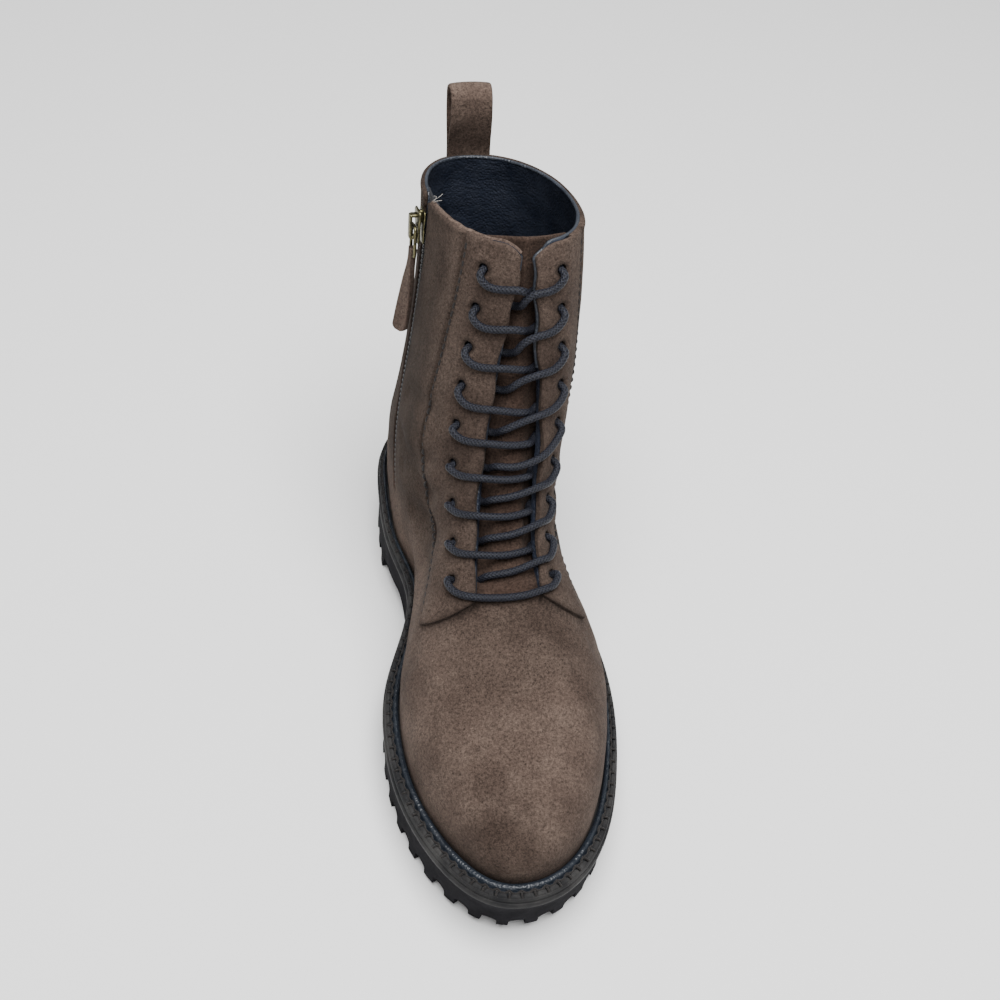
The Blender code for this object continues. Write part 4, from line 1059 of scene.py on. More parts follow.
def slot_corner(level, run):
    """How far the collar drops where it rounds over towards the zip."""
    beside = np.abs(run - zip_run(np.minimum(level, 1.0))) - ZIP_SLOT / 2
    near = np.clip(1 - beside / ZIP_CORNER, 0, 1)
    return ZIP_CORNER * (1 - np.sqrt(np.clip(1 - near**2, 0, 1)))


def upper_anchors(levels):
    """Runs of the lines that the upper's columns hit, from the big-toe side of the throat."""
    notch = throat_half_gap(levels) + NOTCH
    zip_line = zip_run(levels)
    slot = ZIP_SLOT / 2
    return [
        notch,
        seam_run(levels, -1, -SEAM_GROOVE),
        seam_run(levels, -1, SEAM_GROOVE),
        seam_run(levels, -1, SEAM_SHOULDER),
        zip_line - slot - SLOT_ROUNDING,
        zip_line - slot,
        zip_line + slot,
        zip_line + slot + SLOT_ROUNDING,
        back(levels, 0.0),
        seam_run(levels, 1, SEAM_SHOULDER),
        seam_run(levels, 1, SEAM_GROOVE),
        seam_run(levels, 1, -SEAM_GROOVE),
        CHART.length(levels) - notch,
    ]


def make_upper(suede):
    """The suede of vamp and quarters, open down the throat and along the zip."""
    levels = skin_levels()
    counts = [7, 1, 1, 44, 2, 4, 2, 60, 112, 1, 1, 7]
    grid, runs, throat = round_grid(levels, upper_anchors(levels), counts, 40)
    grid[-1] -= slot_corner(grid[-1], runs[-1]) / RATE_FRONT
    for row, below in zip((-2, -3), COLLAR_ROWS):
        grid[row] = np.minimum(grid[row], grid[-1] - below / RATE_FRONT)
    runs = np.mod(runs, CHART.length(levels)[:, None])
    base = skin(grid, runs)
    normal = outward(grid, runs)
    from_top = (1 - grid) * RATE_FRONT
    lift = soft_lift(base, grid, runs)
    lift += 0.0004 * (1 - smooth_step(from_top, 0.0005, 0.0030)) - 0.0006 * rounding(from_top, 0.0009)
    # The slot's two edges are rounded over.
    left, right = sum(counts[:5]), sum(counts[:6])
    lift[:, [left, right]] -= 0.0003
    thick = SKIN_THICKNESS + COLLAR_FOLD * (1 - smooth_step(from_top, 0.0020, 0.0040))
    outer = base + lift[..., None] * normal
    inner = base + (np.minimum(lift, 0.0) - thick)[..., None] * normal
    for side in (outer, inner):
        side[0, :, 2] -= SKIRT
    keep = np.ones((len(levels) - 1, runs.shape[1]), bool)
    keep[np.argmin(np.abs(levels - THROAT_LEVEL)) :, throat:] = False
    keep[np.argmin(np.abs(levels - ZIP_FOOT_LEVEL)) :, left:right] = False
    return slab("upper_skin", outer, inner, suede, keep, True, upper_shade(base, grid, runs))


def leg_shade(level):
    """Painted shade: the leg darker than the vamp, most of all half way up, and less dark again near the
    collar.
    """
    return 0.94 - 0.30 * smooth_step(level, 0.34, 0.50) + 0.12 * smooth_step(level, 0.80, 1.0)


def upper_shade(points, level, run):
    """Painted shade: darker at the seams, in the shadow under the facings' lower edge, beside the welt and
    on the quarters, on top of the leg's painted shade. Also darker towards the toe.
    """
    far = np.abs(beside_ridge(level, run))
    line = seam_distance(level)
    edge = throat_half_gap(level)
    foot = float(facing_foot(1.0))
    seam = bell(far, line, 0.0022) * smooth_step(level, foot - 0.002, foot + 0.006)
    low = np.exp(-(level / 0.035))
    below = (facing_foot(np.clip((far - edge) / (line - edge), 0, 1)) - level) * RATE_FRONT
    beside = (1 - smooth_step(far - line, 0.0, 0.004)) * smooth_step(far - edge, -0.003, 0.0)
    under = bell(below, 0.0010, 0.0011) * beside
    along = along_foot(points[..., 1]) / SOLE_LENGTH
    toe = smooth_step(along + 0.05 * roughly(points, 0.03, 90.0), 0.84, 0.97)
    quarter = smooth_step(far - line, 0.0, 0.012) * smooth_step(level, 0.30, 0.45)
    return leg_shade(level) - 0.30 * seam - 0.25 * low - 0.45 * under - 0.28 * toe - 0.24 * quarter


def make_lining(leather):
    """The lining, open down the throat where the tongue lies, and along the zip."""
    levels = np.concatenate([[0.0], np.linspace(0.004, 1, 96)])
    length = CHART.length(levels)
    gap = throat_half_gap(levels) + LINING_INSET
    wide = np.maximum(gap + 0.001, TONGUE_WIDTH / 2 + 0.002)
    zip_line = zip_run(levels)
    slot = ZIP_SLOT / 2 + 0.0004
    anchors = [gap, wide, zip_line - slot, zip_line + slot, back(levels, 0.0), length - wide, length - gap]
    counts = [14, 34, 2, 30, 60, 14]
    grid, runs, throat = round_grid(levels, anchors, counts, 22)
    from_edge = np.abs(beside_ridge(grid[-1], np.mod(runs[-1], length[-1]))) - throat_half_gap(1.0)
    grid[-1] = collar_level(np.maximum(from_edge, 0)) - slot_corner(grid[-1], runs[-1]) / RATE_FRONT
    for row in (-2, -3):
        grid[row] = np.minimum(grid[row], grid[-1] + row * 0.002 / RATE_FRONT)
    runs = np.mod(runs, length[:, None])
    beyond = np.abs(beside_ridge(grid, runs)) - facing_line(grid, 1, 0.55)
    above = smooth_step(grid, float(facing_foot(0.5)), float(facing_foot(0.0)))
    under_facing = (1 - smooth_step(beyond, -0.002, 0.004)) * above
    from_top = (1 - grid) * RATE_FRONT
    fold = COLLAR_FOLD * (1 - smooth_step(from_top, 0.0030, 0.0050))
    base = skin(grid, runs)
    normal = outward(grid, runs)
    # Where the suede sinks, the lining sinks with it.
    sunk = np.minimum(soft_lift(base, grid, runs), 0.0) - 0.0002
    high = sunk - LINING_GAP - (SKIN_THICKNESS + fold) * (1 - under_facing)
    wrinkles = 0.0004 * np.minimum(roughly(base, 0.016, 21.0), 0)
    low = sunk - LINING_GAP - WALL + wrinkles - 0.6 * fold
    outer = base + high[..., None] * normal
    inner = base + low[..., None] * normal
    for side in (outer, inner):
        side[0, :, 2] -= SKIRT
    keep = np.ones((len(levels) - 1, runs.shape[1]), bool)
    centre = (levels[:-1] + levels[1:]) / 2
    lap = centre > THROAT_LEVEL - TONGUE_LAP / RATE_FRONT - 0.01
    beside = [*range(counts[0]), *range(throat - counts[-1], throat)]
    keep[lap, throat:] = False
    keep[np.ix_(lap & (centre <= THROAT_LEVEL), beside)] = False
    keep[centre > ZIP_FOOT_LEVEL, sum(counts[:2]) : sum(counts[:3])] = False
    return slab("lining", outer, inner, leather, keep, wrap=True)


def cut_holes(outer, inner, keep, holes, radius):
    """Opens round holes in a grid: cells inside go, and the points round each hole move onto
    its circle. holes are (centre on the outer side, centre on the inner side)."""
    for top, bottom in holes:
        cell = (outer[:-1, :-1] + outer[1:, :-1] + outer[:-1, 1:] + outer[1:, 1:]) / 4
        inside = np.linalg.norm(cell - top, axis=-1) < radius
        keep &= ~inside
        full = np.zeros(outer.shape[:2], int)
        for r, c in np.argwhere(inside):
            full[r : r + 2, c : c + 2] += 1
        border = (full > 0) & (full < 4)
        for side, centre in ((outer, top), (inner, bottom)):
            away = side[border] - centre
            side[border] = centre + away * (radius / np.linalg.norm(away, axis=-1, keepdims=True))


def facing_edge(level, sign):
    """The throat edge isn't straight: the laces pull it in and out."""
    phase = 0.6 if sign > 0 else 2.4
    rows = (1 - np.asarray(level)) * RATE_FRONT / LACE_PITCH
    wave = np.sin(2 * math.pi * rows + phase) + 0.6 * np.sin(2 * math.pi * rows * 0.43 + 2 * phase)
    inside = smooth_step(level, THROAT_LEVEL, THROAT_LEVEL + 0.05) * smooth_step(1 - level, 0.0, 0.06)
    return -sign * EDGE_WAVE * wave * inside


def make_facing(name, sign, suede, holes_at):
    """The eyelet panel on one side of the throat, with a rounded edge and punched holes."""
    near_throat = np.array([0.0, 0.0005, 0.0013]) / 0.03
    shares = np.concatenate([near_throat, np.linspace(0.075, 1.0, 60)[:-1], [0.975, 0.99, 1.0]])
    shares = np.unique(np.round(shares, 5))[None, :]
    along = np.unique(np.concatenate([np.linspace(0, 1, 215), [0.0022, 0.0045, 0.9955, 0.9978]]))
    foot = facing_foot(shares) - FOOT_BOW / RATE_FRONT * np.sin(math.pi * shares)
    top = collar_level(FACING_WIDTH_TOP * shares)
    level = foot + (top - foot) * along[:, None]
    share = np.broadcast_to(shares, level.shape)
    distance = facing_line(level, sign, share)
    distance = distance + facing_edge(level, sign) * (1 - smooth_step(share, 0.0, 0.35))
    run = np.mod(ridge(level, distance), CHART.length(level))
    base = skin(level, run)
    normal = outward(level, run)
    width = seam_distance(level) - throat_half_gap(level)
    from_throat = share * width
    from_seam = (1 - share) * width
    from_foot = (level - foot) * RATE_FRONT
    from_top = (top - level) * RATE_FRONT
    thick = FACING_SEAT + FACING_THICKNESS
    lift = thick + 0.00035 * roughly(base, 0.020, 3.0) + 0.00012 * roughly(base, 0.008, 5.0)
    lift += EDGE_CURL * np.exp(-from_throat / 0.004) * smooth_step(level, THROAT_LEVEL, THROAT_LEVEL + 0.1)
    low = 1 - smooth_step(from_foot, 0.002, 0.020)
    lift -= (thick - SEAM_RISE) * (1 - smooth_step(from_seam, 0.0004, 0.014)) * (0.9 - 0.55 * low)
    lift += 0.0004 * (1 - smooth_step(from_foot, 0.0, 0.006))
    lift += crease_lift(base)
    lift -= 0.00055 * rounding(from_throat, 0.0012) + 0.00040 * rounding(from_foot, 0.0007)
    lift -= 0.00050 * rounding(from_top, 0.0012) + 0.00060 * rounding(from_seam, 0.0009)
    # Painted shade: darker along the seam, the lower edge and the throat edge.
    shade = leg_shade(level) - 0.30 * bell(from_seam, 0.0, 0.0020)
    shade -= 0.30 * np.exp(-(from_foot / 0.0009)) + 0.18 * np.exp(-(from_throat / 0.0008))
    holes = []
    for at in holes_at:
        place = ridge(at, eyelet_distance(at, sign))
        centre, up = skin(at, place), outward(at, place)
        far = np.linalg.norm(base - centre, axis=-1)
        lift -= 0.00045 * bell(far, EYELET_DIAMETER / 2, 0.0011)
        lift += 0.00025 * bell(far, EYELET_DIAMETER, 0.0016)
        # Painted shade round the rim of each hole.
        shade -= 0.35 * bell(far, EYELET_DIAMETER / 2, 0.0008)
        holes.append((centre + up * thick, centre + up * FACING_SEAT * 0.3))
    outer = base + lift[..., None] * normal
    # The underside follows the suede that it is sewn to.
    beyond = smooth_step(np.abs(distance) - throat_half_gap(level) - NOTCH + 0.001, -0.001, 0.001)
    on_vamp = 1 - smooth_step((level - THROAT_LEVEL) * RATE_FRONT, -0.0005, 0.0015)
    soft = np.clip(uneven_lift(base, level, run), -0.0002, 0.0004) + 0.00012
    under = 0.00015 + np.maximum(beyond, on_vamp) * soft
    inner = base + np.minimum(under, lift - 0.0003)[..., None] * normal
    keep = np.ones((level.shape[0] - 1, level.shape[1] - 1), bool)
    cut_holes(outer, inner, keep, holes, EYELET_DIAMETER / 2)
    return slab(name, outer, inner, suede, keep, shade=np.clip(shade, 0.2, 1.2))


def tongue_lift(level, distance):
    """Height of the tongue's face: crowned between the facings, pressed down under them by
    the laces, and up against the vamp at the foot of the throat."""
    gap = throat_half_gap(level)
    middle = -WALL - 2 * CLEARANCE
    pressed = middle - TONGUE_PRESS
    side = smooth_step(np.abs(distance) - gap, -0.0095, -0.0005)
    lift = middle + (pressed - middle) * side
    up = smooth_step((np.asarray(level) - THROAT_LEVEL) * RATE_FRONT, 0.0005, 0.013)
    return lift * up + (-SKIN_THICKNESS - 0.0004) * (1 - up)


def make_tongue(suede):
    """The tongue from under the vamp to the collar, with a rounded top."""
    across = np.sort(np.concatenate([np.linspace(-1, 1, 57), [-0.985, 0.985]]))
    foot = THROAT_LEVEL - TONGUE_LAP / RATE_FRONT
    rows = np.concatenate([np.linspace(0, 0.985, 150), [0.992, 0.997, 1.0]])
    top = 1 + (TONGUE_RISE - TONGUE_ROUND * across**2)[None, :] / RATE_FRONT
    level = foot + (top - foot) * rows[:, None]
    distance = np.broadcast_to(across * TONGUE_WIDTH / 2, level.shape)
    capped = np.minimum(level, 1.0)
    run = np.mod(ridge(capped, distance), CHART.length(capped))
    base = skin(level, run)
    normal = outward(capped, run)
    lift = tongue_lift(level, distance)
    wave = 0.00055 * roughly(base, 0.016, 40.0) + 0.0002 * roughly(base, 0.006, 50.0)
    lift = lift + wave * smooth_step((level - THROAT_LEVEL) * RATE_FRONT, 0.004, 0.02)
    lift = lift + crease_lift(base) * 0.5
    edge = np.minimum((1 - np.abs(across))[None, :] * TONGUE_WIDTH / 2, (top - level) * RATE_FRONT)
    rounded = 0.0006 * rounding(edge, 0.0012)
    outer = base + (lift - rounded)[..., None] * normal
    inner = base + (lift - TONGUE_THICKNESS + rounded)[..., None] * normal
    # Painted shadow where the tongue runs under the facings' edges; lighter along the top edge.
    shade = leg_shade(level) - 0.30 * smooth_step(np.abs(distance) - throat_half_gap(level), -0.006, 0.002)
    shade = shade + 0.12 * np.exp(-((top - level) * RATE_FRONT) / 0.0006)
    return slab("tongue_skin", outer, inner, suede, shade=shade)


# Laces


def strand(level, per_metre, sign, fall, reach, loose=0.0):
    """Places of one strand, as (level, distance, lift): up out of its hole, over its facing and
    the tongue, and under the far facing's edge. fall is how far it drops on the way, and
    per_metre is the level's change along the lacing."""
    gap = throat_half_gap(level)
    start = eyelet_distance(level, sign)
    over, under = LACE_OVER, LACE_UNDER
    turn = LACE_HOOK * min(1.0, max(0.15, fall / LACE_HOOK_FALL))
    edge = sign * gap

    def at(drop, distance, lift):
        return (level - drop * per_metre, distance, lift)

    return [
        at(-0.0008, start, under - 0.0004),
        at(0.0000, start, -0.0006),
        at(0.0012, start, over - 0.0008),
        at(turn * 0.55, start - sign * 0.0004, over + 0.0006),
        at(turn + 0.15 * fall, start - sign * 0.0042, over + 0.0001),
        at(turn + 0.35 * (fall - turn) + loose, edge, over - 0.0004),
        at(turn + 0.62 * (fall - turn) + loose, edge * 0.05, max(over - 0.0016 - 0.10 * gap, 0.0006)),
        at(turn + 0.86 * (fall - turn), -edge + sign * min(0.0045, gap * 0.7), -0.0002 - 0.04 * gap),
        at(fall, -edge - sign * 0.0005, under),
        at(fall - 0.001, -edge - sign * reach * 0.5, under - 0.0002),
    ]


def lace_route(first_sign, levels):
    """One half of the lace, from the middle of the bar up to a top eyelet."""
    over, under = LACE_OVER, LACE_UNDER
    sign = first_sign
    low = levels[-1]
    end = eyelet_distance(low, sign)
    gap = throat_half_gap(low)
    per_metre = -np.gradient(levels) / LACE_PITCH
    sag = BAR_SAG * per_metre[-1]
    route = [
        (low - sag, 0.0, 0.0024),
        (low - sag * 0.97, sign * gap * 0.55, 0.0027),
        (low - sag * 0.86, sign * (gap + 0.001), over + 0.0002),
        (low - sag * 0.62, end - sign * 0.0040, over + 0.0004),
        (low - sag * 0.20, end - sign * 0.0004, over + 0.0006),
        (low - 0.0002 * per_metre[-1], end, over - 0.0012),
        (low, end, -0.0006),
        (low + 0.0010 * per_metre[-1], end, under - 0.0004),
        (low + 0.0030 * per_metre[-1], end - sign * 0.004, under - 0.0002),
    ]
    for row in range(LACE_ROWS - 2, -1, -1):
        sign = -sign
        falls = FALL_MEDIAL if sign < 0 else FALL_LATERAL
        reach = EYELET_INSET_LATERAL if sign < 0 else EYELET_INSET_MEDIAL
        loose = LOOSE_DROP if (row, sign) == LOOSE_STRAND else 0.0
        route += strand(levels[row], per_metre[row], sign, falls[row], reach, loose)[::-1]
    return route


def cord_tube(name, points, radius, finish):
    """A cord with its run and its turn as a UV map, for the braid."""
    verts, faces = tube(points, radius, CORD_SIDES)
    made = new_object(name, verts, faces, finish, smooth=70)
    run = distances(points)
    layer = made.data.uv_layers.new(name="cord")
    places = np.zeros((len(made.data.loops), 2))
    vertices = np.zeros(len(made.data.loops), np.int32)
    made.data.loops.foreach_get("vertex_index", vertices)
    ring = np.minimum(vertices // CORD_SIDES, len(points) - 1)
    places[:, 0] = run[ring]
    turn = (vertices % CORD_SIDES) / CORD_SIDES
    starts = np.zeros(len(made.data.polygons), np.int32)
    totals = np.zeros(len(made.data.polygons), np.int32)
    made.data.polygons.foreach_get("loop_start", starts)
    made.data.polygons.foreach_get("loop_total", totals)
    for start, total in zip(starts, totals):
        part = turn[start : start + total]
        if part.max() - part.min() > 0.5:
            turn[start : start + total] = np.where(part < 0.5, part + 1.0, part)
    places[:, 1] = turn
    layer.data.foreach_set("uv", places.astype(np.float32).ravel())
    return made


def route_points(route):
    """Points of a route of (level, distance, lift) places. Low on the shin a level dips at the
    ridge, so the laces are raised there to run level."""
    level, distance, lift = np.array(route).T
    levels = eyelet_levels()
    per_metre = np.interp(level, levels[::-1], (-np.gradient(levels) / LACE_PITCH)[::-1])
    low = 1 - smooth_step(level, levels[-1], levels[3])
    level = level + LACE_LEVELLING * per_metre * low * np.clip(1 - (distance / EYELET_REACH) ** 2, 0, 1)
    run = np.mod(ridge(level, distance), CHART.length(level))
    return skin(level, run, lift)


def make_laces(cord):
    """One cord, from a top eyelet down to the bar and up to the other top eyelet."""
    levels = eyelet_levels()
    one, other = (route_points(lace_route(sign, levels)) for sign in (-1, 1))
    points = np.concatenate([one[::-1], other[1:]])
    line = smooth_line(points, 0.0008)
    return cord_tube("laces", line, LACE_DIAMETER / 2, cord)


# Sole


def beside_welt(share, rise, angle):
    """Points round the welt, rise over the sole's top. share is 0 at the welt's outer edge
    and 1 under the upper's edge."""
    inner = welt_margin(angle) - WELT_SEAT
    side, ahead = rim_curve(WELT_INSET + (inner - WELT_INSET) * share, angle)
    return to_world(np.stack([side, ahead, sole_top(ahead) + rise], axis=-1))


def even_angles(count):
    """Angles round the rim at even steps along it."""
    fine = np.linspace(0, 2 * math.pi, 2881)
    run = distances(np.stack(rim_curve(0.0, fine), axis=-1))
    return np.interp(np.arange(count) * run[-1] / count, run, fine), run[-1]


def seat_height(ahead):
    """Height of the face that the welt lies on."""
    return sole_top(ahead) - WELT_THICKNESS


def make_welt(leather, edge):
    """The stitched strip: a smooth bead against the upper, a sewn channel and a plain edge."""
    angle, length = even_angles(1980)
    phase = np.arange(len(angle)) / len(angle) * round(length / WELT_PITCH) % 1.0
    notch = bell(phase, 0.5, 0.10)
    segment = np.sin(math.pi * ((phase - 0.5) % 1.0)) ** 0.6
    profile = [
        (0.00, -WELT_THICKNESS),
        (0.00, -0.0012),
        (0.015, -0.0006),
        (0.05, -0.00025),
        (0.10, -0.00030),
        (0.13, -0.00060 + 0.00085 * segment - 0.0013 * notch),
        (0.22, -0.00040 + 0.00115 * segment - 0.0018 * notch),
        (0.34, -0.00050 + 0.00110 * segment - 0.0017 * notch),
        (0.42, -0.0012),
        (0.49, -0.0017),
        (0.56, -0.0012),
        (0.61, 0.0001),
        (0.68, WELT_BEAD_HEIGHT * 0.72),
        (0.78, WELT_BEAD_HEIGHT),
        (0.90, WELT_BEAD_HEIGHT * 0.85),
        (1.00, WELT_BEAD_HEIGHT * 0.30),
        (1.00, -WELT_THICKNESS),
    ]
    rings = [beside_welt(share, rise, angle) for share, rise in profile]
    slots = np.repeat([1] * 7 + [0] * 10, len(angle))
    return new_object("welt_strip", *bent_tube(rings), [leather, edge], slots, smooth=40)


def make_welt_thread(thread):
    """The lock stitches in the welt's channel."""
    angle, length = even_angles(1980)
    count = round(length / WELT_PITCH)
    run = np.arange(len(angle)) / len(angle) * count
    share = 0.48 + 0.085 * np.sin(2 * math.pi * (run - 0.25))
    ring = beside_welt(share, 0.00035 * np.cos(4 * math.pi * run) - 0.00050, angle)[::3]
    parts = [tube(np.concatenate([ring, ring[:1]]), WELT_THREAD, 6)]
    across = np.array([0.11, 0.22, 0.36, 0.48])
    rise = 0.0010 * np.sin(math.pi * (across - 0.10) / 0.40) - 0.00090
    for k in range(count):
        at = angle[int((k + 0.5) / count * len(angle)) % len(angle)]
        parts.append(tube(beside_welt(across, rise, np.full(4, at)), WELT_TICK, 6))
    return new_object("welt_stitches", *merged(parts), thread)


def cutter(name, points, faces):
    """A form to be cut out of the sole, itself never shown."""
    made = new_object(name, points, faces, [])
    made.hide_render = True
    made.display_type = "WIRE"
    return made


def loft(rings):
    """(points, faces) of rings of equal count, closed at both ends by strips across."""
    rows, count = np.shape(rings)[:2]
    faces = ring_faces(rows, count)
    half = count // 2
    strips = [(1, 0, count - 1)] + [(k + 1, k, count - k, count - k - 1) for k in range(1, half - 1)]
    strips.append((half, half - 1, half + 1))
    last = (rows - 1) * count
    for strip in strips:
        faces.append(strip)
        faces.append(tuple(last + i for i in reversed(strip)))
    return np.reshape(rings, (-1, 3)), faces


def underside(ahead):
    """Height of the sole's lower side, with the raised arch between heel and forefoot."""
    rise = smooth_step(ahead, HEEL_BREAST, HEEL_BREAST + BREAST_SLOPE)
    fall = smooth_step(ahead, FOREFOOT_START - BREAST_RUN, FOREFOOT_START)
    return tread(ahead) + ARCH_RISE * (rise - fall)


def scoop(start, stop, width, low, high_out, high_in, flare=1.0):
    """A gap between lugs: a trench with a round roof, wider at its start by flare, as (points,
    faces)."""
    along = (stop - start) / np.linalg.norm(stop - start)
    across = np.array([-along[1], along[0]])
    turn = np.linspace(0, math.pi, 9)
    rings = []
    for end, high, half in ((start, high_out, width / 2 * flare), (stop, high_in, width / 2)):
        roof = [(-half * math.cos(t), high - width / 2 + width / 2 * math.sin(t)) for t in turn]
        profile = [(-half * 1.1, low), *roof, (half * 1.1, low)]
        rings.append([to_world(np.array([*(end + across * x), z])) for x, z in profile])
    return stacked(rings)


def wall_rings():
    """Rings of the sole's side wall and its rim, from the foot to the top."""
    angle = np.linspace(0, 2 * math.pi, 336, endpoint=False)
    undercut = TOE_UNDERCUT * np.clip(-np.cos(angle), 0, 1) ** 6
    rows = (
        # share of the undercut, inset, share of the wall's height, rise over it
        (1.00, RIM_STEP - SOLE_FLARE, 0.00, -CLEARANCE),
        (0.75, RIM_STEP - SOLE_FLARE * 0.6, 0.25, 0.0),
        (0.45, RIM_STEP - SOLE_FLARE * 0.2, 0.50, 0.0),
        (0.18, RIM_STEP, 0.78, 0.0),
        (0.00, RIM_STEP * 1.05, 1.00, 0.0),
        (0.00, RIM_STEP * 0.85, 1.00, 0.0003),
        (0.00, RIM_STEP * 0.20, 1.00, 0.0007),
        (0.00, 0.0, 1.00, RIM_STEP),
        (0.00, 0.0, 1.00, RIM_HEIGHT - 0.0010),
        (0.00, 0.0003, 1.00, RIM_HEIGHT - 0.0003),
        (0.00, 0.0008, 1.00, RIM_HEIGHT),
    )
    rings = []
    for taper, inset, share, rise in rows:
        side, ahead = rim_curve(undercut * taper + inset, angle)
        wall = seat_height(ahead) - CLEARANCE - RIM_HEIGHT
        rings.append(to_world(np.stack([side, ahead, wall * share + rise], axis=-1)))
    return rings


def underside_form():
    """(points, faces) of all that lies below the sole's underside."""
    ahead = np.concatenate(
        [
            [-BALL_WIDTH],
            np.linspace(HEEL_BREAST, HEEL_BREAST + BREAST_SLOPE, 9),
            np.linspace(FOREFOOT_START - BREAST_RUN, FOREFOOT_START, 14),
            np.linspace(SPRING_START, 1.0, 24) * SOLE_LENGTH,
            [SOLE_LENGTH + BALL_WIDTH],
        ]
    )
    profile = [(a, float(underside(min(a, SOLE_LENGTH)))) for a in ahead]
    profile += [(ahead[-1], -BALL_WIDTH / 2), (ahead[0], -BALL_WIDTH / 2)]
    return stacked([[to_world(np.array([side, *p])) for p in profile] for side in (-BALL_WIDTH, BALL_WIDTH)])


def lug_gaps():
    """(points, faces) of the gaps between the lugs along the edge."""
    fine, length = even_angles(2880)
    gaps = round(length / LUG_PITCH)
    at = fine[((np.arange(gaps) + 0.5) / gaps * len(fine)).astype(int)]
    outer = np.stack(rim_curve(-2 * SOLE_FLARE, at), axis=-1)
    inner = np.stack(rim_curve(LUG_LENGTH + CHANNEL_WIDTH / 2, at), axis=-1)
    parts = []
    for start, stop in zip(outer, inner):
        if HEEL_BREAST - LUG_GAP < start[1] < FOREFOOT_START:
            continue
        high_out = float(tread(start[1])) + LUG_DEPTH * 1.2
        high_in = float(tread(stop[1])) + LUG_DEPTH * CHANNEL_DEPTH_SHARE
        parts.append(scoop(start, stop, LUG_GAP, -LUG_DEPTH, high_out, high_in, GAP_FLARE))
    return merged(parts)


def channel_form():
    """(points, faces) of the channel between the lugs and the bars."""
    angle = np.linspace(0, 2 * math.pi, 120, endpoint=False)
    rings = []
    for inset, high in ((0.0, False), (0.0, True), (CHANNEL_WIDTH, True), (CHANNEL_WIDTH, False)):
        side, ahead = rim_curve(LUG_LENGTH + inset, angle)
        roof = tread(ahead) + LUG_DEPTH * CHANNEL_DEPTH_SHARE
        height = roof if high else np.full(ahead.shape, -LUG_DEPTH)
        rings.append(to_world(np.stack([side, ahead, height], axis=-1)))
    return bent_tube(rings)


def bar_gaps():
    """(points, faces) of the gaps between the bars inside the channel."""
    reach = LUG_LENGTH + CHANNEL_WIDTH / 2
    forefoot = np.arange(FOREFOOT_START + BAR_PITCH, SOLE_LENGTH - 2 * LUG_LENGTH - BAR_PITCH / 2, BAR_PITCH)
    heel = np.arange(HEEL_BREAST - BAR_PITCH, 2 * LUG_LENGTH, -BAR_PITCH)
    parts = []
    for ahead in np.concatenate([forefoot, heel]):
        turn = np.array([math.acos(1 - 2 * ahead / SOLE_LENGTH)])
        left, right = (np.array([rim_curve(reach, t)[0][0], ahead]) for t in (2 * math.pi - turn, turn))
        roof = float(tread(ahead)) + LUG_DEPTH * BAR_DEPTH_SHARE
        parts.append(scoop(left, right, LUG_GAP, -LUG_DEPTH, roof, roof))
    return merged(parts)


def make_outsole(rubber, edge):
    """The moulded unit: a flared wall with a rim, less the arch, the channel and the gaps
    between the lugs and the bars."""
    body = new_object("outsole_lugged", *loft(wall_rings()), [rubber, edge], smooth=30)
    cutters = [
        cutter("underside_cutter", *underside_form()),
        cutter("lug_gap_cutter", *lug_gaps()),
        cutter("channel_cutter", *channel_form()),
        cutter("bar_gap_cutter", *bar_gaps()),
    ]
    outward_faces(cutters + [body])
    for tool in cutters:
        modifier = body.modifiers.new(tool.name, "BOOLEAN")
        modifier.operation = "DIFFERENCE"
        modifier.object = tool
        modifier.solver = "EXACT"
    bake(body)
    for tool in cutters:
        bpy.data.objects.remove(tool)
    body.data.shade_smooth()
    body.data.set_sharp_from_angle(angle=math.radians(32))
    for face in body.data.polygons:
        rim_foot = float(seat_height(along_foot(face.center.y))) - RIM_HEIGHT - 0.0001
        face.material_index = int(face.center.z - SHIFT[2] > rim_foot)
    return body


def outward_faces(objects):
    """Turns the faces of closed forms outwards."""
    for obj in objects:
        shape = bmesh.new()
        shape.from_mesh(obj.data)
        bmesh.ops.recalc_face_normals(shape, faces=shape.faces)
        shape.to_mesh(obj.data)
        shape.free()


def bake(obj):
    """Turns an object's modifiers into its own mesh."""
    bpy.context.view_layer.update()
    graph = bpy.context.evaluated_depsgraph_get()
    mesh = bpy.data.meshes.new_from_object(obj.evaluated_get(graph))
    obj.modifiers.clear()
    obj.data = mesh


# Pull loop


def loop_route():
    """Centre line of the pull loop's strap as (rise over the collar, lift off the leg)."""
    inner = CLEARANCE + LOOP_THICKNESS / 2
    closed = (LOOP_THICKNESS + CLEARANCE) / 2
    middle = inner + closed
    top = (LOOP_OPENING + LOOP_THICKNESS) / 2
    crown = LOOP_RISE - top - LOOP_THICKNESS / 2
    leg = [(-LOOP_LAP * share, closed) for share in np.linspace(1, 0, 14)]
    for share in np.linspace(0.05, 0.95, 18):
        leg.append((crown * share, closed + (top - closed) * float(smooth_step(share, 0.0, 0.85))))
    turn = [(crown + top * math.sin(angle), top * math.cos(angle)) for angle in np.linspace(0, math.pi, 17)]
    front = [(rise, middle - gap) for rise, gap in leg]
    over = [(rise, middle - gap) for rise, gap in turn]
    behind = [(rise, middle + gap) for rise, gap in reversed(leg)]
    return np.array(front + over + behind)


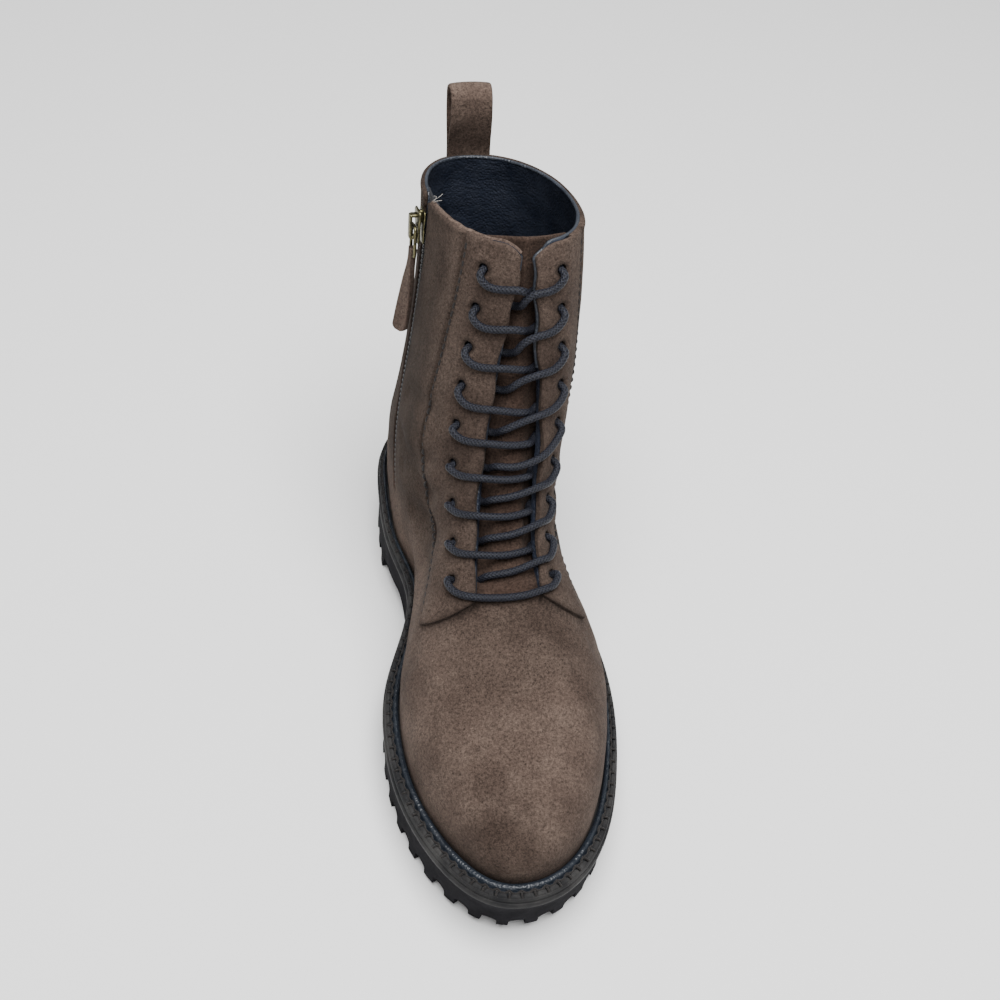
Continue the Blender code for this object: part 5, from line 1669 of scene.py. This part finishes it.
def make_pull_loop(suede):
    """The strap folded over at the back of the collar, sewn on with both ends outside."""
    route = loop_route()
    tangent = np.gradient(route, axis=0)
    normal = np.stack([-tangent[:, 1], tangent[:, 0]], axis=-1)
    normal /= np.linalg.norm(normal, axis=-1, keepdims=True)
    half = LOOP_WIDTH / 2
    trim = np.array([0.0, 0.0004, 0.001])
    across = np.concatenate([trim - half, np.linspace(0.002 - half, half - 0.002, 18), half - trim[::-1]])
    round_over = rounding(half - np.abs(across), 0.001)
    level_rate = rate(from_back=True)
    grids = []
    for side in (LOOP_THICKNESS / 2, -LOOP_THICKNESS / 2):
        rows = []
        for (rise, lift), (nr, nl) in zip(route, normal):
            reach = side * (1 - 0.55 * round_over)
            level = 1 + (rise + nr * reach) / level_rate
            capped = np.minimum(level, 1.0)
            here = lift + nl * reach
            run = back(capped, across * BACK_RADIUS / (BACK_RADIUS + here))
            rows.append(to_world(bare(level, run)) + here[:, None] * outward(capped, run))
        grids.append(np.array(rows))
    uneven = 0.00022 * roughly(grids[0], 0.009, 70.0)[..., None] * np.array([0.2, 1.0, 0.1])
    shade = np.ones(grids[0].shape[:2]) - 0.15 * round_over[None, :]
    return slab("pull_loop_strap", grids[0] + uneven, grids[1] + uneven, suede, shade=shade)


# Zip


def zip_grid(levels, across, lift):
    """Points beside the zip's line, at each level and each distance across it."""
    level = np.broadcast_to(np.asarray(levels)[:, None], (len(levels), len(across)))
    run = zip_run(level[:, 0])[:, None] + np.asarray(across)[None, :]
    return skin(level, run, np.broadcast_to(lift, level.shape))


def make_zip_tape(tape):
    """The woven tape behind the slot."""
    levels = np.linspace(ZIP_FOOT_LEVEL - LEVEL_STEP, 1 - CLEARANCE / rate(True), 90)
    across = np.linspace(-1, 1, 17) * ZIP_TAPE_WIDTH / 2
    behind = -WALL - ZIP_SEAT
    outer = zip_grid(levels, across, behind)
    inner = zip_grid(levels, across, behind - ZIP_TAPE_THICKNESS)
    return slab("zip_tape_weave", outer, inner, tape)


def make_zip_teeth(nylon):
    """The coil: short rods from the left and the right in turn, and a sewn line beside each."""
    per_level = rate(True)
    foot = ZIP_FOOT_LEVEL + 0.004 / per_level
    top = 1 - (ZIP_TOP_DROP + SLIDER_LENGTH * 0.6) / per_level
    fine = np.linspace(foot, top, 200)
    line = zip_grid(fine, [0.0], 0.0)[:, 0]
    run = distances(line)
    count = int(run[-1] / TOOTH_PITCH)
    parts = []
    for k in range(count):
        level = float(np.interp((k + 0.5) * TOOTH_PITCH, run, fine))
        side = 1 if k % 2 else -1
        across = np.array([side * 0.0023, side * 0.0014, side * 0.0002, -side * 0.0008])
        lifts = np.array([-0.0020, -0.0009, -0.0007, -0.0012])
        points = skin(np.full(4, level), zip_run(level) + across, lifts)
        parts.append(tube(points, TOOTH_RADIUS, 6))
    for side in (-1, 1):
        sewn = zip_grid(np.linspace(foot, top, 80), [side * TAPE_LINE], -0.0024)[:, 0]
        parts.append(tube(sewn, 0.00035, 6))
    return new_object("zip_teeth", *merged(parts), nylon)


def slider_frame():
    """Frame at the pull's hinge: x across the zip, y up the zip, z out from the leg."""
    per_level = rate(True)
    level = 1 - (ZIP_TOP_DROP + SLIDER_LENGTH / 2) / per_level
    lift = CLEARANCE + SLIDER_THICKNESS + PIN_CLEARANCE + PIN_DIAMETER / 2
    reach = SLIDER_WIDTH / 2
    one, other = (Vector(skin(level, zip_run(level, d), lift)) for d in (-reach, reach))
    here = Vector(skin(level, zip_run(level), lift))
    above = level + LEVEL_STEP
    there = Vector(skin(above, zip_run(above), lift))
    x = (one - other).normalized()
    y = there - here
    z = x.cross(y).normalized()
    if z.x > 0:
        x, z = -x, -z
    y = z.cross(x)
    frame = Matrix.Identity(4)
    for column, axis in enumerate((x, y, z, here)):
        for row in range(3):
            frame[row][column] = axis[row]
    return frame


def plate_from(outline, low, high, bevel, frame):
    """(points, faces) of a flat piece with rounded edges, from an outline in x and y."""
    outline = np.asarray(outline, float)
    centre = outline.mean(axis=0)
    tangent = np.roll(outline, -1, axis=0) - np.roll(outline, 1, axis=0)
    normal = np.stack([tangent[:, 1], -tangent[:, 0]], axis=-1)
    normal /= np.linalg.norm(normal, axis=1, keepdims=True)
    if np.sum(normal * (outline - centre)) < 0:
        normal = -normal
    rings = []
    edge = ((bevel, 0), (bevel * 0.3, bevel * 0.3), (0, bevel))
    for inset, z in [(a, low + b) for a, b in edge] + [(a, high - b) for a, b in reversed(edge)]:
        flat = outline - normal * inset
        rings.append(np.column_stack([flat, np.full(len(flat), z)]))
    return stacked(in_frame(rings, frame))


def in_frame(points, frame):
    """Points given in a frame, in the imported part's frame."""
    turn = np.array(frame)
    return np.asarray(points, float) @ turn[:3, :3].T + turn[:3, 3]


def rounded_box(half_width, low, high, radius, steps=5):
    """A rectangle with round corners, from low to high in y."""
    points = []
    for cx, cy, start in (
        (half_width - radius, high - radius, 0),
        (-half_width + radius, high - radius, 90),
        (-half_width + radius, low + radius, 180),
        (half_width - radius, low + radius, 270),
    ):
        for k in range(steps + 1):
            a = math.radians(start + 90 * k / steps)
            points.append((cx + radius * math.cos(a), cy + radius * math.sin(a)))
    return points


def make_slider(brass, frame):
    """Two plates joined by a post, with an arch over the upper one for the pull."""
    drop = PIN_DIAMETER / 2 + PIN_CLEARANCE
    half = SLIDER_LENGTH / 2
    wide, slim = SLIDER_WIDTH / 2, SLIDER_WIDTH / 2 * 0.72
    right = [(slim * 0.8, -half), (slim, -half + 0.0015), (slim * 1.05, 0.0)]
    right += [(wide, half * 0.55), (wide, half - 0.001), (wide - 0.001, half)]
    shield = [(-slim * 0.8, -half), *right, *[(-x, y) for x, y in reversed(right[1:])]]
    base = -drop - SLIDER_THICKNESS
    post = rounded_box(0.0012, half * 0.2, half * 0.95, 0.0008)
    bridge = rounded_box(BRIDGE_WIDTH / 2, -BRIDGE_LENGTH / 2, BRIDGE_LENGTH / 2, 0.0012)
    parts = [
        plate_from(shield, base + 0.0019, -drop, 0.0004, frame),
        plate_from(shield, base, base + 0.0008, 0.0003, frame),
        plate_from(post, base + 0.0006, base + 0.0021, 0.0002, frame),
        plate_from(bridge, 0.0010, 0.0021, 0.0004, frame),
    ]
    for end in (-1, 1):
        low, high = sorted((end * BRIDGE_LENGTH / 2, end * (BRIDGE_LENGTH / 2 - 0.0014)))
        foot = rounded_box(BRIDGE_WIDTH / 2 - 0.0002, low, high, 0.0004)
        parts.append(plate_from(foot, -drop - 0.0003, 0.0014, 0.0002, frame))
    return new_object("slider_body", *merged(parts), brass)


def make_pull(brass, suede, frame):
    """The link rides on the slider's bridge and holds a suede tab of two layers."""
    radius = PIN_DIAMETER / 2
    outer = PULL_WIDTH / 2 - radius * 0.7
    ring = rounded_box(outer, -PULL_LINK - 0.0012, 0.0, 0.0016, steps=6)
    line = in_frame(smooth_line([(x, y, 0.0) for x, y in ring + ring[:2]], 0.0004), frame)
    link = new_object("pull_link", *tube(line, radius * 0.95, 10), brass, smooth=60)
    return [link, make_tab(suede, frame)]


def make_tab(suede, frame):
    """The suede tab, twisted a little and standing off the leg towards its end."""
    top, bottom = -PULL_LINK + 0.0018, -PULL_LENGTH
    rows = np.linspace(0, 1, 60)
    y = top + (bottom - top) * rows
    half = PULL_WIDTH / 2
    width = half * (0.62 + 0.38 * smooth_step(rows, 0.12, 0.42))
    width = width * np.sqrt(np.clip(1 - np.clip((rows - 0.95) / 0.05, 0, 1) ** 2 * 0.75, 0.05, 1))
    across = np.concatenate([[-1.0, -0.93, -0.82], np.linspace(-0.7, 0.7, 9), [0.82, 0.93, 1.0]])
    round_over = rounding(1 - np.abs(across), 0.16)
    thick = PULL_THICKNESS / 2 * (1.0 + 0.10 * bell(rows, 0.0, 0.08))
    x = width[:, None] * across[None, :]
    z = thick[:, None] * (1 - 0.35 * round_over[None, :])
    flat = np.broadcast_to(y[:, None], x.shape)
    turn = TAB_TWIST * smooth_step(rows, 0.05, 0.9)[:, None]
    lean = TAB_LEAN * (rows**1.5)[:, None]
    away = TAB_LIFT * (rows**1.3)[:, None]

    def turned(side, up):
        x = side * np.cos(turn) - up * np.sin(turn) + lean
        z = side * np.sin(turn) + up * np.cos(turn) + away
        return in_frame(np.stack([x, flat, z], axis=-1), frame)

    front, rear = turned(x, z), turned(x, -z)
    shade = 1 - 0.55 * round_over[None, :] * np.ones(x.shape)
    return slab("pull_tab", front, rear, suede, shade=shade)


# Stitches


def make_stitches(thread):
    """Stitches along the facings' outer seams."""
    bow = np.array([-0.0010, -0.0001, 0.0001, 0.0001, -0.0001, -0.0010])[:, None]
    taper = np.array([0.7, 1.0, 1.0, 1.0, 1.0, 0.7])
    levels = np.linspace(float(facing_foot(1.0)) + 0.004, 0.992, 260)
    parts = []
    for sign, proud in ((-1, 0.0003), (1, 0.0001)):
        place = seam_run(levels, sign, -SEAM_SHOULDER)
        line = skin(levels, place, np.full(len(levels), SEAM_RISE + proud))
        normal = outward(levels, place)
        run = distances(line)
        for k in range(int(run[-1] / SEAM_PITCH)):
            at = (k + 0.5) * SEAM_PITCH + np.linspace(-0.5, 0.5, 6) * SEAM_STITCH
            parts.append(tube(sample(at, run, line) + sample(at, run, normal) * bow, THREAD / 2, 6, taper))
    return new_object("seam_stitches", *merged(parts), thread)


def make_collar_rim(leather):
    """The lining's rolled edge round the collar and down the little-toe side of the throat."""
    corner = throat_half_gap(1.0)
    length = float(CHART.length(1.0))
    start = float(zip_run(1.0)) + ZIP_SLOT / 2 + 0.002
    runs = np.linspace(start, length - corner - 0.0006, 260)
    from_edge = np.maximum(length - runs - corner, 0)
    level = collar_level(from_edge)
    level = level - slot_corner(np.ones_like(level), runs) / RATE_FRONT
    over = skin(level - 0.0003 / RATE_FRONT, runs, np.full(len(runs), -WALL - 0.0001))
    down_level = np.linspace(float(level[-1]) - 0.006, 0.80, 80)
    distance = throat_half_gap(down_level) + facing_edge(down_level, 1) - 0.0001
    down = skin(down_level, ridge(down_level, distance), np.full(len(down_level), -WALL * 0.45))
    line = smooth_line(np.concatenate([over, down])[::4], 0.0012)
    return new_object("collar_rim", *tube(line, RIM_RADIUS, 10), leather, smooth=70)


def make_collar_fold(suede):
    """The suede is folded over the lining between the throat and the zip."""
    corner = throat_half_gap(1.0)
    runs = np.linspace(corner + 0.0012, float(zip_run(1.0)) - ZIP_SLOT / 2 - 0.0010, 90)
    level = collar_level(runs - corner) - slot_corner(np.ones_like(runs), runs) / RATE_FRONT
    line = skin(level - 0.0004 / RATE_FRONT, runs, np.full(len(runs), -WALL + 0.0004))
    line = line + 0.0002 * roughly(line, 0.004, 80.0)[:, None]
    points, faces = tube(smooth_line(line[::3], 0.0012), FOLD_RADIUS, 10)
    return new_object("collar_fold", points, faces, suede, smooth=70, shade=np.full(len(points), 1.1))


def make_loose_threads(thread):
    """A few pale thread ends by the zip's top."""
    side = float(zip_run(1.0)) - ZIP_SLOT / 2
    parts = []
    for place, reach, turn in ((0.002, 0.0050, 0.5), (0.004, 0.0042, -0.7), (0.0028, 0.0034, 1.4)):
        start = skin(1.0, side - place, -0.0012)
        away = np.array([math.cos(turn), math.sin(turn) * 0.5, 0.55])
        bow = np.array([math.sin(turn), -math.cos(turn), 0.8])
        share = np.linspace(0, 1, 12)[:, None]
        points = start + away * reach * share + bow * 0.0012 * np.sin(math.pi * share)
        parts.append(tube(points, 0.00011, 6))
    return new_object("loose_threads", *merged(parts), thread)


# Stage


def make_stage():
    """A plain floor."""
    bpy.ops.mesh.primitive_circle_add(vertices=64, radius=6.0, fill_type="NGON", location=(0, 0, 0))
    floor = bpy.context.object
    floor.name = "floor"
    floor.data.materials.append(floor_material())


def area_light(name, place, target, size, power, colour=(1, 1, 1)):
    """A round lamp that faces its target."""
    data = bpy.data.lights.new(name, "AREA")
    data.shape = "DISK"
    data.size = size
    data.energy = power
    data.color = colour
    made = bpy.data.objects.new(name, data)
    made.location = place
    made.rotation_euler = (Vector(target) - Vector(place)).to_track_quat("-Z", "Y").to_euler()
    bpy.context.scene.collection.objects.link(made)


def make_lights():
    """A large soft lamp overhead, a faint one from the front and an even grey world."""
    area_light("overhead", (0.05, -0.25, 1.6), (0, -0.05, 0.05), 1.3, 60.0)
    area_light("front", (-0.7, -1.2, 1.0), (0, -0.03, 0.1), 0.9, 1.2, (1.0, 0.98, 0.96))
    world = bpy.data.worlds.new("studio")
    world.use_nodes = True
    world.node_tree.nodes["Background"].inputs["Color"].default_value = (1, 1, 1, 1)
    world.node_tree.nodes["Background"].inputs["Strength"].default_value = 0.30
    bpy.context.scene.world = world


def make_camera():
    """The photo's own viewpoint, turned about itself so that the one boot is in the middle."""
    tilt = math.radians(CAMERA_TILT)
    forward = math.sqrt(1 - CAMERA_SWING**2)
    ahead = Vector((CAMERA_SWING * math.cos(tilt), forward * math.cos(tilt), -math.sin(tilt)))
    right = ahead.cross(Vector((0, 0, 1))).normalized()
    up = right.cross(ahead)
    x, y = ((BOOT_MIDDLE[i] - CAMERA_CENTRE[i]) / CAMERA_REACH for i in (0, 1))
    aim = (ahead + right * x - up * y).normalized()
    right = (right - aim * right.dot(aim)).normalized()
    up = right.cross(aim)
    data = bpy.data.cameras.new("camera")
    data.sensor_width = 36.0
    data.lens = CAMERA_REACH * 36.0 / 1000
    data.clip_start = 0.01
    made = bpy.data.objects.new("camera", data)
    made.matrix_world = Matrix.Translation(CAMERA_PLACE) @ Matrix((right, up, -aim)).transposed().to_4x4()
    bpy.context.scene.collection.objects.link(made)
    bpy.context.scene.camera = made


def main():
    rubber = rubber_material("sole_rubber", (0.0075, 0.0073, 0.0088), (0.022, 0.021, 0.024), 0.72)
    rim = rubber_material("sole_rim", (0.018, 0.018, 0.019), (0.060, 0.058, 0.056), 0.45)
    welt = leather_material("welt_leather", (0.0065, 0.009, 0.014), (0.015, 0.020, 0.028), 0.42)
    suede = suede_material("suede", (0.052, 0.036, 0.029), (0.094, 0.067, 0.054), (0.140, 0.104, 0.084))
    tongue_suede = ((0.044, 0.027, 0.021), (0.076, 0.050, 0.039), (0.108, 0.075, 0.059))
    tongue = suede_material("tongue_suede", *tongue_suede)
    lining = leather_material("lining_leather", (0.009, 0.012, 0.021), (0.022, 0.027, 0.041), 0.42)
    roll = leather_material("rim_leather", (0.016, 0.020, 0.028), (0.036, 0.042, 0.054), 0.5)
    cord = cord_material("lace_cord", (0.0030, 0.0032, 0.0055), (0.024, 0.026, 0.037))
    tape = woven_material("zip_tape", (0.004, 0.004, 0.006), (0.014, 0.015, 0.020))
    nylon = new_material("zip_nylon", 0.45)
    nylon.node_tree.nodes["Principled BSDF"].inputs["Base Color"].default_value = (0.008, 0.009, 0.012, 1)
    brass = metal_material("aged_brass", (0.20, 0.18, 0.095), (0.045, 0.042, 0.026), 0.36)
    thread = woven_material("sewing_thread", (0.004, 0.003, 0.003), (0.014, 0.011, 0.010))
    white = woven_material("pale_thread", (0.25, 0.23, 0.21), (0.42, 0.40, 0.37))

    def add(piece, slot, *nodes, body="boot"):
        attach(piece, body)
        if nodes:
            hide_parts(*nodes)

    holes = eyelet_levels()
    add(make_upper(suede), "suede", "upper")
    add(make_lining(lining), "lining")
    add(make_facing("facing_medial_skin", -1, suede, holes), "suede", "facing_medial")
    add(make_facing("facing_lateral_skin", 1, suede, holes), "suede", "facing_lateral")
    add(make_tongue(tongue), "tongue_suede", "tongue")
    add(make_laces(cord), "lace_cord", *[f"lace_{k}" for k in range(1, LACE_ROWS)], "lace_bar")
    add(make_outsole(rubber, rim), "sole_rubber", "outsole")
    add(make_welt(welt, rim), "welt", "welt")
    add(make_welt_thread(thread), "welt")
    add(make_pull_loop(suede), "suede", "pull_loop")
    add(make_zip_tape(tape), "zip_tape", "zip_tape")
    add(make_zip_teeth(nylon), "zip_chain", "zip_chain")
    place = slider_frame()
    add(make_slider(brass, place), "aged_brass", "zip_slider")
    link, tab = make_pull(brass, suede, place)
    add(link, "aged_brass", "zip_pull", body="zip_pull")
    add(tab, "suede", body="zip_pull")
    add(make_stitches(thread), "suede")
    add(make_collar_rim(roll), "lining")
    add(make_collar_fold(suede), "suede")
    add(make_loose_threads(white), "suede")
    sock = frame["nodes"]["insole"]
    sock.data.materials.clear()
    sock.data.materials.append(lining)
    make_stage()
    make_lights()
    make_camera()


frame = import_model()
lowest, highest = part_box("outsole")
SHIFT = ((lowest.x + highest.x) / 2, (lowest.y + highest.y) / 2, lowest.z)
CHART = Chart()
RATE_FRONT = rate()
main()
